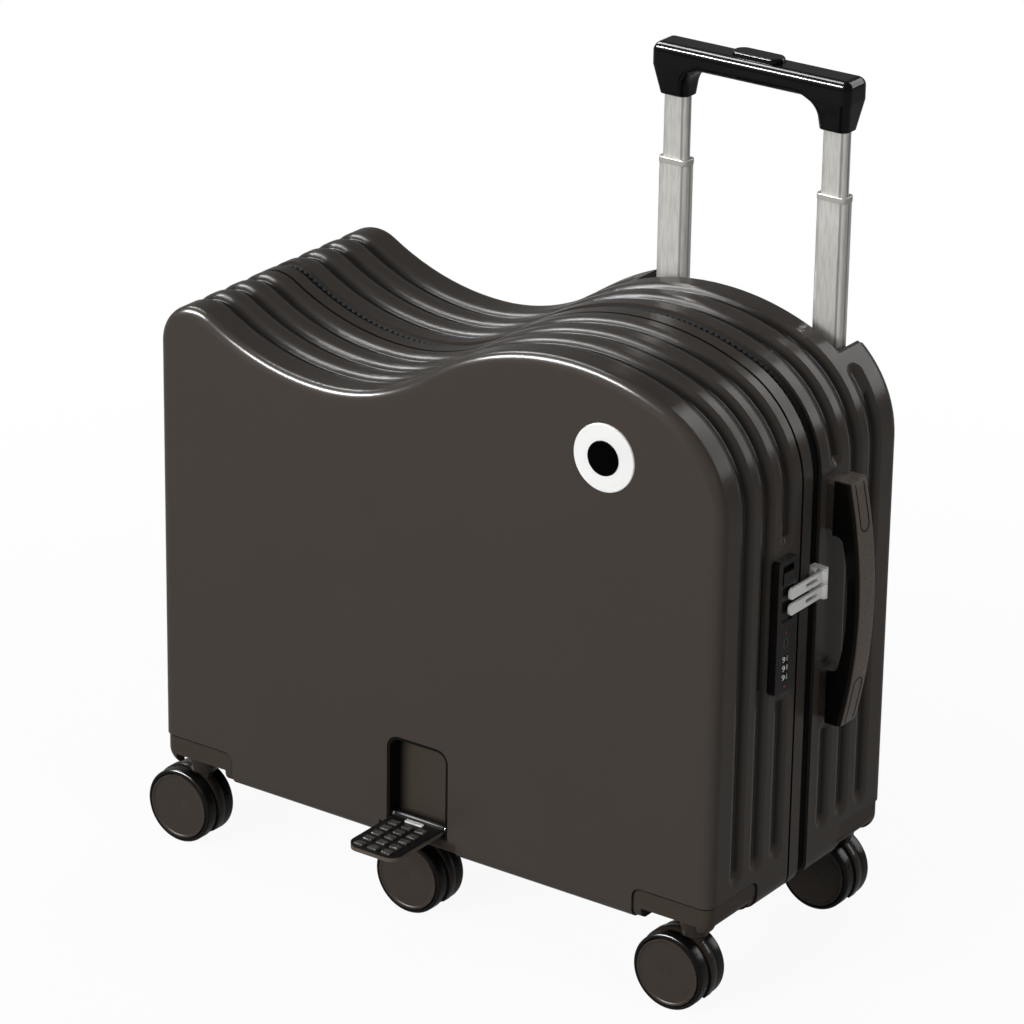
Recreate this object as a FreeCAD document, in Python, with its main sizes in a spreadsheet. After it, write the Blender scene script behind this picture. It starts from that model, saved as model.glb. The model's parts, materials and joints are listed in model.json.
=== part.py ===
import FreeCAD, Part
import math
import os
import re
from FreeCAD import Vector

# Ride-on suitcase: a hard case with a saddle-shaped top, two hinged halves, six twin-wheel casters,
# fold-down footrests, a combination lock, a carry handle and a telescopic pull handle.
# Frame: origin on the floor under the middle of the case, +X to the head end with the lock and the
# carry handle, -Y to the front panel, +Z up. Millimetres. The pull handle is part-way out, as when riding.

SIZES = {
    # case
    "case_length": 480.0,
    "case_depth": 226.0,
    "shell_wall": 4.4,
    "edge_radius": 9.0,
    "base_radius": 14.0,
    "tail_rise": 363.0,
    "tail_radius": 30.0,
    "dip_run": 145.0,
    "dip_drop": 31.5,
    "head_run": 130.0,
    "head_lift": 67.5,
    "dip_radius_share": 0.4348,
    "nose_turn_angle": 24.5,
    "seam_gap": 0.3,
    "face_gap": 0.4,
    "run_clear": 0.06,
    "overrun": 3.0,
    # ribs between rounded grooves
    "groove_first": 30.2,
    "groove_pitch": 25.2,
    "groove_depth": 3.2,
    "groove_radius": 3.6,
    "groove_lip_radius": 16.0,
    "groove_lip_angle": 7.0,
    "groove_low": 41.0,
    "groove_margin": 12.0,
    # zip and fabric hinge
    "zip_offset": 5.75,
    "zip_width": 11.5,
    "zip_parting": 0.7,
    "tape_sink": 2.0,
    "tape_thickness": 3.0,
    "seam_line_offset": 13.5,
    "seam_line_width": 2.2,
    "seam_line_depth": 1.2,
    "hinge_low": 30.0,
    "hinge_high": 322.0,
    "hinge_inset": 1.0,
    "hinge_bead_radius": 2.4,
    "hinge_leaf_thickness": 2.4,
    # casters
    "wheel_radius": 28.5,
    "wheel_width": 11.2,
    "wheel_gap": 8.2,
    "wheel_headroom": 5.0,
    "tread_rounding": 2.4,
    "hub_radius": 25.0,
    "hub_dish": 0.8,
    "hub_rim": 2.0,
    "axle_radius": 3.0,
    "caster_trail": 12.0,
    "caster_inset": 23.0,
    "caster_side_inset": 18.0,
    "centre_caster_inset": 27.5,
    "centre_x": -8.5,
    "centre_caster_x": -13.5,
    "stem_radius": 5.0,
    "stem_length": 11.0,
    "crown_radius": 10.0,
    "crown_gap": 1.0,
    "crown_room": 2.0,
    "fork_eye_radius": 9.0,
    "fork_neck_half": 8.5,
    "fin_proud": 1.0,
    "fin_low_angle": 28.0,
    "fin_high_angle": 32.0,
    # caster seats
    "guard_length": 64.0,
    "guard_width": 61.0,
    "guard_height": 25.0,
    "guard_inset": 1.2,
    "guard_corner": 7.0,
    "arch_height": 10.0,
    "arch_end": 7.0,
    "pillar": 11.0,
    "mount_length": 66.0,
    "mount_width": 53.0,
    "boss_radius": 8.5,
    "boss_cap": 2.5,
    # footrests
    "well_width": 49.0,
    "well_headroom": 0.9,
    "well_depth": 15.5,
    "well_wall": 2.0,
    "well_corner": 8.0,
    "well_recess": 0.4,
    "footrest_axis_rise": 18.5,
    "footrest_axis_inset": 5.0,
    "footrest_width": 43.0,
    "footrest_reach": 60.5,
    "footrest_thickness": 4.4,
    "footrest_face_rise": 1.2,
    "footrest_barrel_radius": 3.6,
    "footrest_corner": 9.0,
    "footrest_edge": 1.5,
    "pin_radius": 2.4,
    "pad_length": 5.8,
    "pad_width": 7.4,
    "pad_height": 1.4,
    "pad_pitch_across": 11.8,
    "pad_pitch_along": 10.0,
    "pad_first": 16.0,
    "heel_bar_length": 3.4,
    "heel_bar_width": 15.0,
    "heel_bar_place": 8.0,
    # eyes
    "eye_x": 145.0,
    "eye_rise": 337.5,
    "eye_radius": 24.5,
    "eye_sink": 1.2,
    "eye_raise": 1.6,
    "eye_rounding": 1.0,
    "pupil_radius": 12.5,
    "pupil_height": 0.9,
    # lock
    "lock_y": -37.0,
    "lock_low": 165.0,
    "lock_height": 99.0,
    "lock_width": 24.0,
    "lock_raise": 6.2,
    "lock_depth": 14.0,
    "lock_flange": 3.0,
    "lock_corner": 3.0,
    "dial_radius": 7.0,
    "dial_width": 5.2,
    "dial_pitch": 6.8,
    "dial_first": 11.0,
    "dial_proud": 0.5,
    "dial_room": 0.5,
    "spindle_radius": 1.6,
    "key_rise": 36.5,
    "key_radius": 4.2,
    "key_length": 8.0,
    "keyway_width": 1.4,
    "keyway_height": 5.0,
    "keyway_depth": 4.0,
    "lock_button_rise": 81.0,
    "lock_button_height": 9.0,
    "lock_button_width": 13.0,
    "lock_button_depth": 4.0,
    "lock_button_proud": 0.6,
    "lock_button_travel": 4.5,
    "seat_rise": 53.0,
    "seat_height": 26.0,
    "seat_depth": 1.5,
    # zip sliders and pulls
    "slider_height": 10.8,
    "slider_width": 10.0,
    "slider_low": 0.3,
    "slider_raise": 5.4,
    "slider_rounding": 2.0,
    "upper_slider_rise": 73.2,
    "lower_slider_rise": 61.6,
    "bail_radius": 3.0,
    "bail_pin_radius": 1.2,
    "pull_gap": 1.0,
    "pull_thickness": 2.0,
    "pull_width": 8.2,
    "pull_reach": 44.0,
    "pull_slot_width": 2.6,
    "pull_slot_length": 14.0,
    # carry handle
    "handle_y": 28.75,
    "handle_width": 22.5,
    "handle_low": 121.5,
    "handle_height": 181.5,
    "handle_end_raise": 19.0,
    "handle_bow": 11.0,
    "handle_thickness": 9.4,
    "handle_end_length": 40.0,
    "handle_rounding": 3.0,
    "handle_inner_radius": 6.0,
    "handle_base_raise": 6.0,
    "handle_base_margin": 1.6,
    "handle_post_radius": 3.5,
    "handle_post_length": 8.0,
    # pull handle
    "trolley_x": 125.2,
    "trolley_y": 95.0,
    "tube_spacing": 130.4,
    "inner_tube_width": 19.6,
    "inner_tube_depth": 9.6,
    "middle_tube_width": 23.4,
    "middle_tube_depth": 12.6,
    "outer_tube_width": 27.8,
    "outer_tube_depth": 16.2,
    "tube_wall": 1.2,
    "tube_corner": 3.6,
    "slide_gap": 0.3,
    "collar_height": 4.5,
    "collar_wall": 0.4,
    "collar_shown": 477.0,
    "grip_shown": 524.0,
    "middle_tube_length": 295.0,
    "inner_tube_length": 310.0,
    "grip_length": 161.0,
    "grip_depth": 28.0,
    "grip_height": 37.5,
    "grip_bar": 16.0,
    "grip_leg_low": 23.4,
    "grip_leg_high": 28.0,
    "grip_leg_depth": 18.0,
    "grip_crown": 3.0,
    "grip_crown_half": 8.5,
    "grip_rounding": 6.0,
    "grip_inner_radius": 13.0,
    "socket_depth": 18.0,
    "button_length": 40.0,
    "button_width": 16.0,
    "button_height": 9.0,
    "button_proud": 3.4,
    "button_travel": 2.6,
    "button_gap": 0.3,
    "yoke_bar": 5.0,
    "yoke_rod_radius": 1.9,
    "yoke_rod_length": 290.0,
    "well_floor_rise": 330.0,
    "trolley_well_low": 84.3,
    "trolley_well_high": 84.3,
    "trolley_well_front": 17.5,
    "trolley_well_wall": 2.4,
    "foot_rise": 27.0,
    "foot_height": 18.0,
    "foot_margin": 6.0,
    "foot_socket": 12.0,
}

PLACES = {
    "half_length": "case_length / 2",
    "half_depth": "case_depth / 2",
    "case_floor": "2 * wheel_radius + wheel_headroom",
    "front_rim": "zip_offset - zip_width / 2",
    "back_rim": "zip_offset + zip_width / 2",
    "tail_top": "case_floor + tail_rise",
    "dip_top": "tail_top - dip_drop",
    "head_top": "dip_top + head_lift",
    "groove_end": "case_floor + groove_low",
    "hinge_x": "hinge_inset - half_length",
    "hinge_bottom": "case_floor + hinge_low",
    "hinge_top": "case_floor + hinge_high",
    "arch_top": "case_floor + arch_height",
    "crown_low": "2 * wheel_radius + crown_gap",
    "crown_high": "arch_top - face_gap",
    "stem_high": "arch_top + stem_length",
    "caster_x": "half_length - caster_inset",
    "caster_y": "caster_side_inset - half_depth",
    "centre_caster_y": "centre_caster_inset - half_depth",
    "web_half": "wheel_gap / 2 - face_gap",
    "wheel_inside": "wheel_gap / 2",
    "wheel_outside": "wheel_gap / 2 + wheel_width",
    "footrest_z": "case_floor + footrest_axis_rise",
    "footrest_y": "footrest_axis_inset - half_depth",
    "footrest_face": "footrest_z + footrest_face_rise",
    "well_bottom": "footrest_z - footrest_barrel_radius - face_gap",
    "well_top": "footrest_z + footrest_reach + well_headroom",
    "mount_top": "well_bottom - well_wall - seam_gap",
    "eye_z": "case_floor + eye_rise",
    "eye_face": "half_depth + eye_raise",
    "lock_bottom": "case_floor + lock_low",
    "lock_top": "lock_bottom + lock_height",
    "lock_face": "half_length + lock_raise",
    "lock_back": "half_length - lock_depth",
    "dial_x": "lock_face + dial_proud - dial_radius",
    "key_z": "lock_bottom + key_rise",
    "lock_button_low": "lock_bottom + lock_button_rise",
    "lock_button_high": "lock_button_low + lock_button_height",
    "slider_foot": "half_length - tape_sink + slider_low",
    "pull_low": "lock_face + pull_gap",
    "pull_x": "pull_low + pull_thickness / 2",
    "pull_y": "zip_offset",
    "handle_bottom": "case_floor + handle_low",
    "handle_top": "handle_bottom + handle_height",
    "handle_mid": "(handle_bottom + handle_top) / 2",
    "handle_base_x": "half_length + handle_base_raise",
    "handle_end_x": "half_length + handle_end_raise",
    "handle_bow_x": "handle_end_x + handle_bow",
    "tube_left": "trolley_x - tube_spacing / 2",
    "tube_right": "trolley_x + tube_spacing / 2",
    "collar_top": "case_floor + collar_shown",
    "collar_low": "collar_top - collar_height",
    "grip_low": "case_floor + grip_shown",
    "grip_top": "grip_low + grip_height",
    "grip_under": "grip_top - grip_bar",
    "grip_left": "trolley_x - grip_length / 2",
    "grip_right": "trolley_x + grip_length / 2",
    "socket_top": "grip_low + socket_depth",
    "button_floor": "grip_top + button_proud - button_height",
    "yoke_low": "button_floor - yoke_bar",
    "well_floor": "case_floor + well_floor_rise",
    "well_left": "trolley_x - trolley_well_low",
    "well_right": "trolley_x + trolley_well_high",
    "well_front": "trolley_y - trolley_well_front",
    "foot_low": "case_floor + foot_rise",
    "foot_high": "foot_low + foot_height",
}

FOOTREST_PAD_COLUMNS = 3
FOOTREST_PAD_ROWS = 5
DIAL_NAMES = ("lower", "middle", "upper")
FRONT, BACK = False, True
TOUCH = 1e-3

doc = FreeCAD.newDocument("RideOnSuitcase")
nodes = {}


def fill_sheet(name, rows, write):
    """Make a sheet with one named cell a row."""
    sheet = doc.addObject("Spreadsheet::Sheet", name)
    for line, (alias, entry) in enumerate(rows.items(), start=1):
        sheet.set(f"A{line}", alias.replace("_", " "))
        sheet.set(f"B{line}", write(entry))
        sheet.setAlias(f"B{line}", alias)
    doc.recompute()
    return sheet


def qualified(formula):
    """Put the sheet's name before each size or place in a formula."""

    def with_sheet(found):
        word = found.group(0)
        sheet = "Sizes." if word in SIZES else "Places." if word in PLACES else ""
        return sheet + word

    return re.sub(r"[a-z][a-z_]*", with_sheet, formula)


sizes = fill_sheet("Sizes", SIZES, str)
places = fill_sheet("Places", PLACES, lambda formula: "=" + qualified(formula))
trial = doc.addObject("Spreadsheet::Sheet", "Trial")


def at(name):
    """Value of one named size or place."""
    return float((sizes if name in SIZES else places).get(name))


def opposite(formula):
    return f"-({formula})"


def bind(item, **formulas):
    """Bind properties of an object to formulas in the sheets' names."""
    for name, formula in formulas.items():
        item.setExpression(name.replace("__", "."), qualified(formula))
    return item


def put(item, x="0", y="0", z="0"):
    """Bind an object's place."""
    return bind(item, Placement__Base__x=x, Placement__Base__y=y, Placement__Base__z=z)


def node(item, label):
    """Name a finished sub-part and keep it for writing."""
    item.Label = label
    nodes[label] = item
    return item


def block(name, x, y, z, flip_x=False, flip_y=False):
    """Box between low and high formulas on each axis, turned over to the other side where asked."""
    if flip_x:
        x = (opposite(x[1]), opposite(x[0]))
    if flip_y:
        y = (opposite(y[1]), opposite(y[0]))
    item = doc.addObject("Part::Box", name)
    spans = [f"({high}) - ({low})" for low, high in (x, y, z)]
    bind(item, Length=spans[0], Width=spans[1], Height=spans[2])
    return put(item, x[0], y[0], z[0])


def rod(name, axis, radius, span, x="0", y="0", z="0", flip_x=False, flip_y=False):
    """Cylinder along an axis, between the low and high formulas of span."""
    place = {"x": x, "y": y, "z": z}
    flips = {"x": flip_x, "y": flip_y, "z": False}
    low, high = span
    if flips[axis]:
        low, high = opposite(high), opposite(low)
    for other in "xyz":
        if other != axis and flips[other]:
            place[other] = opposite(place[other])
    place[axis] = low
    item = doc.addObject("Part::Cylinder", name)
    turns = {"x": (Vector(0, 1, 0), 90), "y": (Vector(1, 0, 0), -90), "z": (Vector(0, 0, 1), 0)}
    item.Placement = FreeCAD.Placement(Vector(), FreeCAD.Rotation(*turns[axis]))
    bind(item, Radius=radius, Height=f"({high}) - ({low})")
    return put(item, **place)


def fused(name, *items):
    item = doc.addObject("Part::MultiFuse", name)
    item.Shapes = list(items)
    item.Refine = True
    return item


def less(name, base, *tools):
    """Base with every tool cut away in turn."""
    for number, tool in enumerate(tools, start=1):
        item = doc.addObject("Part::Cut", name if number == len(tools) else f"{name}_{number}")
        item.Base = base
        item.Tool = tool
        base = item
    return base


def shared(name, base, tool):
    item = doc.addObject("Part::Common", name)
    item.Base = base
    item.Tool = tool
    return item


def group(name, *items):
    item = doc.addObject("Part::Compound", name)
    item.Links = list(items)
    return item


def rounded(name, base, radius, wanted):
    """Base with a fillet on each edge that wanted picks."""
    doc.recompute()
    item = doc.addObject("Part::Fillet", name)
    item.Base = base
    picked = [i for i, edge in enumerate(base.Shape.Edges, start=1) if wanted(edge)]
    item.Edges = [(i, radius, radius) for i in picked]
    return item


def along(axis):
    """Test for straight edges along an axis."""
    direction = {"x": Vector(1, 0, 0), "y": Vector(0, 1, 0), "z": Vector(0, 0, 1)}[axis]

    def wanted(edge):
        if not isinstance(edge.Curve, Part.Line):
            return False
        return abs(abs(edge.Curve.Direction.dot(direction)) - 1) < TOUCH

    return wanted


def near(edge, x=None, y=None, z=None):
    """Whether an edge's middle lies at the given coordinates."""
    middle = edge.BoundBox.Center
    pairs = ((middle.x, x), (middle.y, y), (middle.z, z))
    return all(want is None or abs(have - want) < TOUCH for have, want in pairs)


def feature(name, shape):
    item = doc.addObject("Part::Feature", name)
    item.Shape = shape
    item.Placement = FreeCAD.Placement()
    return item


# Bodies drawn from sketches

def body_plane(body, role):
    return next(item for item in body.Origin.OriginFeatures if item.Role == role)


def sketch_on(body, role, name):
    sketch = body.newObject("Sketcher::SketchObject", name)
    sketch.AttachmentSupport = (body_plane(body, role), [""])
    sketch.MapMode = "FlatFace"
    return sketch


def pin_point(sketch, geometry, end, x, y):
    """Fix a point of a sketch at two formulas from the origin."""
    import Sketcher

    for kind, formula, axis in (("DistanceX", x, -2), ("DistanceY", y, -1)):
        if formula == "0":
            sketch.addConstraint(Sketcher.Constraint("PointOnObject", geometry, end, axis))
            continue
        point = sketch.getPoint(geometry, end)
        start = point.x if kind == "DistanceX" else point.y
        number = sketch.addConstraint(Sketcher.Constraint(kind, -1, 1, geometry, end, start))
        sketch.setExpression(f"Constraints[{number}]", qualified(formula))


def number_of(formula):
    """Value of a formula, worked out in the one cell of a sheet that nothing else reads."""
    trial.set("A1", "=" + qualified(formula))
    trial.recompute()
    return float(trial.get("A1"))


def draw_polygon(sketch, corners):
    """Closed polygon through corners given as pairs of formulas."""
    import Sketcher

    points = [Vector(number_of(x), number_of(y), 0) for x, y in corners]
    count = len(points)
    for i in range(count):
        sketch.addGeometry(Part.LineSegment(points[i], points[(i + 1) % count]), False)
    for i in range(count):
        sketch.addConstraint(Sketcher.Constraint("Coincident", i, 2, (i + 1) % count, 1))
    for i, (x, y) in enumerate(corners):
        pin_point(sketch, i, 1, x, y)


def draw_circle(sketch, x, y, radius):
    import Sketcher

    centre = Vector(number_of(x), number_of(y), 0)
    circle = Part.Circle(centre, Vector(0, 0, 1), number_of(radius))
    ring = sketch.addGeometry(circle, False)
    pin_point(sketch, ring, 3, x, y)
    number = sketch.addConstraint(Sketcher.Constraint("Radius", ring, circle.Radius))
    sketch.setExpression(f"Constraints[{number}]", qualified(radius))


def padded_body(name, role, corners, length, midplane=True):
    """Body padded from a polygon."""
    body = doc.addObject("PartDesign::Body", name)
    sketch = sketch_on(body, role, name + "_outline")
    draw_polygon(sketch, corners)
    pad = body.newObject("PartDesign::Pad", name + "_pad")
    pad.Profile = sketch
    pad.Midplane = midplane
    bind(pad, Length=length)
    doc.recompute()
    return body


def turned_body(name, corners):
    """Body turned about its own Y axis from a half profile of (radius, place along Y) corners."""
    body = doc.addObject("PartDesign::Body", name)
    sketch = sketch_on(body, "XY_Plane", name + "_profile")
    draw_polygon(sketch, corners)
    turn = body.newObject("PartDesign::Revolution", name + "_turn")
    turn.Profile = sketch
    turn.ReferenceAxis = (sketch, ["V_Axis"])
    turn.Angle = 360
    doc.recompute()
    return body


def filleted_body(body, name, radius, wanted):
    """Add a fillet feature to a body on each edge that wanted picks."""
    doc.recompute()
    tip = body.Tip
    fillet = body.newObject("PartDesign::Fillet", name)
    edges = [f"Edge{i}" for i, edge in enumerate(tip.Shape.Edges, start=1) if wanted(edge)]
    fillet.Base = (tip, edges)
    bind(fillet, Radius=radius)
    doc.recompute()
    return body


# Side outline of the case

class Arc:
    """Round run of the outline in the XZ plane; a hollow one has its centre outside the case."""

    def __init__(self, centre, radius, start, end, hollow=False):
        self.centre, self.radius, self.start, self.end, self.hollow = centre, radius, start, end, hollow

    def turn(self, share):
        return self.start + (self.end - self.start) * share

    def place(self, share, inset=0.0):
        """Point and outward direction at a share of the run, moved inwards by inset."""
        angle = self.turn(share)
        ray = Vector(math.cos(angle), 0, math.sin(angle))
        reach = self.radius + inset if self.hollow else self.radius - inset
        return self.centre + ray * reach, ray * (-1 if self.hollow else 1)

    def edge(self, inset):
        points = [self.place(share, inset)[0] for share in (0, 0.5, 1)]
        return Part.Arc(*points).toShape()

    def piece(self, first, last):
        return Arc(self.centre, self.radius, self.turn(first), self.turn(last), self.hollow)

    def swept(self, face, y):
        turn = math.degrees(self.end - self.start)
        axis = Vector(0, -1 if turn > 0 else 1, 0)
        return face.revolve(self.centre + Vector(0, y, 0), axis, abs(turn))

    def share_at(self, x):
        """Share of the run at an x, or None outside it."""
        reach = (x - self.centre.x) / self.radius
        if abs(reach) > 1:
            return None
        angle = math.acos(reach)
        if self.hollow:
            angle = 2 * math.pi - angle
        share = (angle - self.start) / (self.end - self.start)
        return share if 0 <= share <= 1 else None


class Line:
    """Straight run of the outline."""

    def __init__(self, start, end, outward):
        self.start, self.end, self.outward = start, end, outward

    def place(self, share, inset=0.0):
        return self.start + (self.end - self.start) * share - self.outward * inset, self.outward

    def piece(self, first, last):
        return Line(self.place(first)[0], self.place(last)[0], self.outward)

    def edge(self, inset):
        return Part.LineSegment(self.place(0, inset)[0], self.place(1, inset)[0]).toShape()

    def swept(self, face, y):
        return face.extrude(self.end - self.start)

    def share_at(self, x):
        return None


def top_runs():
    """Arcs of the saddle from the tail to the head, worked out from the heights they pass through."""
    tail = Vector(at("tail_radius") - at("half_length"), 0, at("tail_top") - at("tail_radius"))
    dip_x = at("dip_run") - at("half_length")
    head_x = at("half_length") - at("head_run")
    step = dip_x - tail.x
    reach = (step**2 + at("dip_drop") ** 2) / (2 * at("dip_drop"))
    fall = math.asin(step / reach)
    dip_in = Vector(dip_x, 0, at("dip_top") + reach - at("tail_radius"))
    rise_step = head_x - dip_x
    rise_reach = (rise_step**2 + at("head_lift") ** 2) / (2 * at("head_lift"))
    rise = math.asin(rise_step / rise_reach)
    dip_radius = rise_reach * at("dip_radius_share")
    head_radius = rise_reach - dip_radius
    dip_out = Vector(dip_x, 0, at("dip_top") + dip_radius)
    head = Vector(head_x, 0, at("head_top") - head_radius)
    lean = math.radians(at("nose_turn_angle"))
    leave = head + Vector(math.sin(lean), 0, math.cos(lean)) * head_radius
    nose_radius = (at("half_length") - leave.x) / (1 - math.sin(lean))
    nose = leave - Vector(math.sin(lean), 0, math.cos(lean)) * nose_radius
    up = math.pi / 2
    return [
        Arc(tail, at("tail_radius"), math.pi, up - fall),
        Arc(dip_in, reach - at("tail_radius"), 3 * up - fall, 3 * up, hollow=True),
        Arc(dip_out, dip_radius, 3 * up, 3 * up + rise, hollow=True),
        Arc(head, head_radius, up + rise, up - lean),
        Arc(nose, nose_radius, up - lean, 0.0),
    ]


def case_runs(low):
    """Outline runs over the top, from a height on the tail wall to the same height on the head wall."""
    tops = top_runs()
    half = at("half_length")
    tail_wall = Line(Vector(-half, 0, low), tops[0].place(0)[0], Vector(-1, 0, 0))
    head_wall = Line(tops[-1].place(1)[0], Vector(half, 0, low), Vector(1, 0, 0))
    return [tail_wall, *tops, head_wall]


def outline_wire(inset, y):
    """Closed outline of the case, moved inwards by inset, at one y."""
    floor, radius, half = at("case_floor"), at("base_radius"), at("half_length")
    runs = case_runs(floor + radius)
    right = Arc(Vector(half - radius, 0, floor + radius), radius, 0.0, -math.pi / 2)
    left = Arc(Vector(radius - half, 0, floor + radius), radius, -math.pi / 2, -math.pi)
    base = Line(right.place(1)[0], left.place(0)[0], Vector(0, 0, -1))
    wire = Part.Wire([run.edge(inset) for run in (*runs, right, base, left)])
    wire.translate(Vector(0, y, 0))
    return wire


def half_form(inset, outer_y, inner_y, radius):
    """Solid of one half of the case: the outline between two planes, rounded at the outer one."""
    solid = Part.Face(outline_wire(inset, outer_y)).extrude(Vector(0, inner_y - outer_y, 0))
    edges = [edge for edge in solid.Edges if edge.BoundBox.YLength < TOUCH and near(edge, y=outer_y)]
    return solid.makeFillet(radius, edges)


def groove_profile(whole):
    """Corner points and arc middles of the groove's section as (across, outward) pairs, soft at its lips."""
    radius, lip_radius, depth = at("groove_radius"), at("groove_lip_radius"), at("groove_depth")
    lip = math.radians(at("groove_lip_angle"))
    slope = math.acos((radius + lip_radius * math.cos(lip) - depth) / (radius + lip_radius))

    def floor_at(angle):
        return radius * math.sin(angle), radius * (1 - math.cos(angle)) - depth

    def lip_at(angle):
        turn_x, turn_z = floor_at(slope)
        across = turn_x + lip_radius * (math.sin(slope) - math.sin(angle))
        return across, turn_z + lip_radius * (math.cos(angle) - math.cos(slope))

    half = [floor_at(slope / 2), floor_at(slope), lip_at(slope / 2), lip_at(0)]
    top = (half[-1][0], at("overrun"))
    if not whole:
        return [("arc", floor_at(0), half[0], half[1]), ("arc", half[1], half[2], half[3]),
                ("line", half[3], top), ("line", top, (0, at("overrun"))),
                ("line", (0, at("overrun")), floor_at(0))]
    mirror = [(-across, outward) for across, outward in half]
    return [("arc", mirror[3], mirror[2], mirror[1]), ("arc", mirror[1], floor_at(0), half[1]),
            ("arc", half[1], half[2], half[3]), ("line", half[3], top),
            ("line", top, (-top[0], top[1])), ("line", (-top[0], top[1]), mirror[3])]


def groove_face(point, outward, y, whole=True):
    """Section face of a groove at a point of the outline."""

    def space(pair):
        across, out = pair
        return point + outward * out + Vector(0, y + across, 0)

    edges = []
    for kind, *pairs in groove_profile(whole):
        points = [space(pair) for pair in pairs]
        curve = Part.Arc(*points) if kind == "arc" else Part.LineSegment(*points)
        edges.append(curve.toShape())
    return Part.Face(Part.Wire(edges))


def groove_tools(y, first, last):
    """Solids of one groove between two (run, share) stops, with round ends."""
    runs = case_runs(at("groove_end"))
    tools = []
    for i in range(first[0], last[0] + 1):
        low = first[1] if i == first[0] else 0.0
        high = last[1] if i == last[0] else 1.0
        if high - low < TOUCH:
            continue
        run = runs[i].piece(low, high)
        tools.append(run.swept(groove_face(*run.place(0), y), y))
    for (number, share), turn in ((first, 1), (last, -1)):
        point, outward = runs[number].place(share)
        cap = groove_face(point, outward, y, whole=False)
        tools.append(cap.revolve(point + Vector(0, y, 0), outward * turn, 180))
    return [tools[0].multiFuse(tools[1:]).removeSplitter()]


def stop_at_x(x):
    """Stop on the top of the outline at an x."""
    runs = case_runs(at("groove_end"))
    for number, run in enumerate(runs):
        share = run.share_at(x)
        if share is not None:
            return number, share
    raise ValueError(f"no run of the outline at x {x}")


def stop_at_height(z):
    """Stop on the head end of the outline at a height."""
    runs = case_runs(at("groove_end"))
    nose, wall = runs[-2], runs[-1]
    if z > nose.centre.z:
        angle = math.asin(min(1.0, (z - nose.centre.z) / nose.radius))
        return len(runs) - 2, (angle - nose.start) / (nose.end - nose.start)
    return len(runs) - 1, (wall.start.z - z) / (wall.start.z - wall.end.z)


def shell_form(name, side):
    """Hollow half of the case with its grooves: side is -1 for the front half, 1 for the back half."""
    rim = at("front_rim") if side < 0 else at("back_rim")
    outer = side * at("half_depth")
    wall, rounding = at("shell_wall"), at("edge_radius")
    solid = half_form(0.0, outer, rim, rounding)
    room = half_form(wall, outer - side * wall, rim - side * at("overrun"), rounding - wall)
    begin, finish = (0, 0.0), (len(case_runs(at("groove_end"))) - 1, 1.0)
    margin = at("groove_margin")
    first, pitch = side * at("groove_first"), side * at("groove_pitch")
    if side < 0:
        gap = (at("lock_bottom") - margin, at("lock_top") + margin)
    else:
        gap = (at("handle_bottom") - margin, at("handle_top") + margin)
    tools = groove_tools(first, begin, stop_at_height(gap[1]))
    tools += groove_tools(first, stop_at_height(gap[0]), finish)
    tools += groove_tools(first + pitch, begin, finish)
    if side < 0:
        tools += groove_tools(first + 2 * pitch, begin, finish)
    else:
        tools += groove_tools(first + 2 * pitch, begin, stop_at_x(at("well_left") - margin))
        tools += groove_tools(first + 2 * pitch, stop_at_x(at("well_right") + margin), finish)
    solid = solid.cut(tools)
    if side < 0:
        line_y = rim - at("seam_line_offset")
        band = Part.Face(outline_wire(-at("overrun"), line_y))
        core = Part.Face(outline_wire(at("seam_line_depth"), line_y))
        solid = solid.cut(band.cut(core).extrude(Vector(0, at("seam_line_width"), 0)))
    return feature(name, solid.cut(room).Solids[0])


def ring(name, low_inset, high_inset, low_y, high_y):
    """Band that follows the outline between two insets and two planes."""
    outer = Part.Face(outline_wire(low_inset, low_y))
    inner = Part.Face(outline_wire(high_inset, low_y))
    return feature(name, outer.cut(inner).extrude(Vector(0, high_y - low_y, 0)))


# Caster seats

def inset_form(name, side):
    """Solid half of the case, a little inside the shell's surface, which trims the pieces set into it."""
    inset = at("guard_inset")
    rim = at("front_rim") if side < 0 else at("back_rim")
    return feature(name, half_form(inset, side * (at("half_depth") - inset), rim,
                                   at("edge_radius") - inset))


def guard_block(name, flip_x, flip_y, gap):
    """Corner block with rounded inner top edges, larger by gap on its three inner faces."""
    base = block(
        name + "_block",
        (f"half_length - guard_length - {gap}", "half_length + overrun"),
        ("-half_depth - overrun", f"guard_width - half_depth + {gap}"),
        ("case_floor - overrun", f"case_floor + guard_height + {gap}"),
        flip_x, flip_y)
    doc.recompute()
    turn_x, turn_y = (-1 if flip_x else 1), (-1 if flip_y else 1)
    extra = number_of(gap)
    edge_x = turn_x * (at("half_length") - at("guard_length") - extra)
    edge_y = turn_y * (at("guard_width") - at("half_depth") + extra)
    top = at("case_floor") + at("guard_height") + extra
    return rounded(name, base, at("guard_corner") + extra,
                   lambda e: near(e, x=edge_x, z=top) or near(e, y=edge_y, z=top))


def corner_guard(name, form, flip_x, flip_y):
    """Corner housing with arches under it and the bore of its caster's stem."""
    body = shared(name + "_body", form, guard_block(name, flip_x, flip_y, "0"))
    inner_x = "half_length - guard_length + arch_end"
    inner_y = "guard_width - half_depth - arch_end"
    under = ("case_floor - overrun", "arch_top")
    side_arch = block(name + "_side_arch", (inner_x, "half_length - pillar"),
                      ("-half_depth - overrun", inner_y), under, flip_x, flip_y)
    end_arch = block(name + "_end_arch", (inner_x, "half_length + overrun"),
                     ("pillar - half_depth", inner_y), under, flip_x, flip_y)
    bore = rod(name + "_bore", "z", "stem_radius + run_clear", ("case_floor", "stem_high + face_gap"),
               "caster_x", "caster_y", flip_x=flip_x, flip_y=flip_y)
    return less(name + "_cut", body, side_arch, end_arch, bore)


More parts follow.
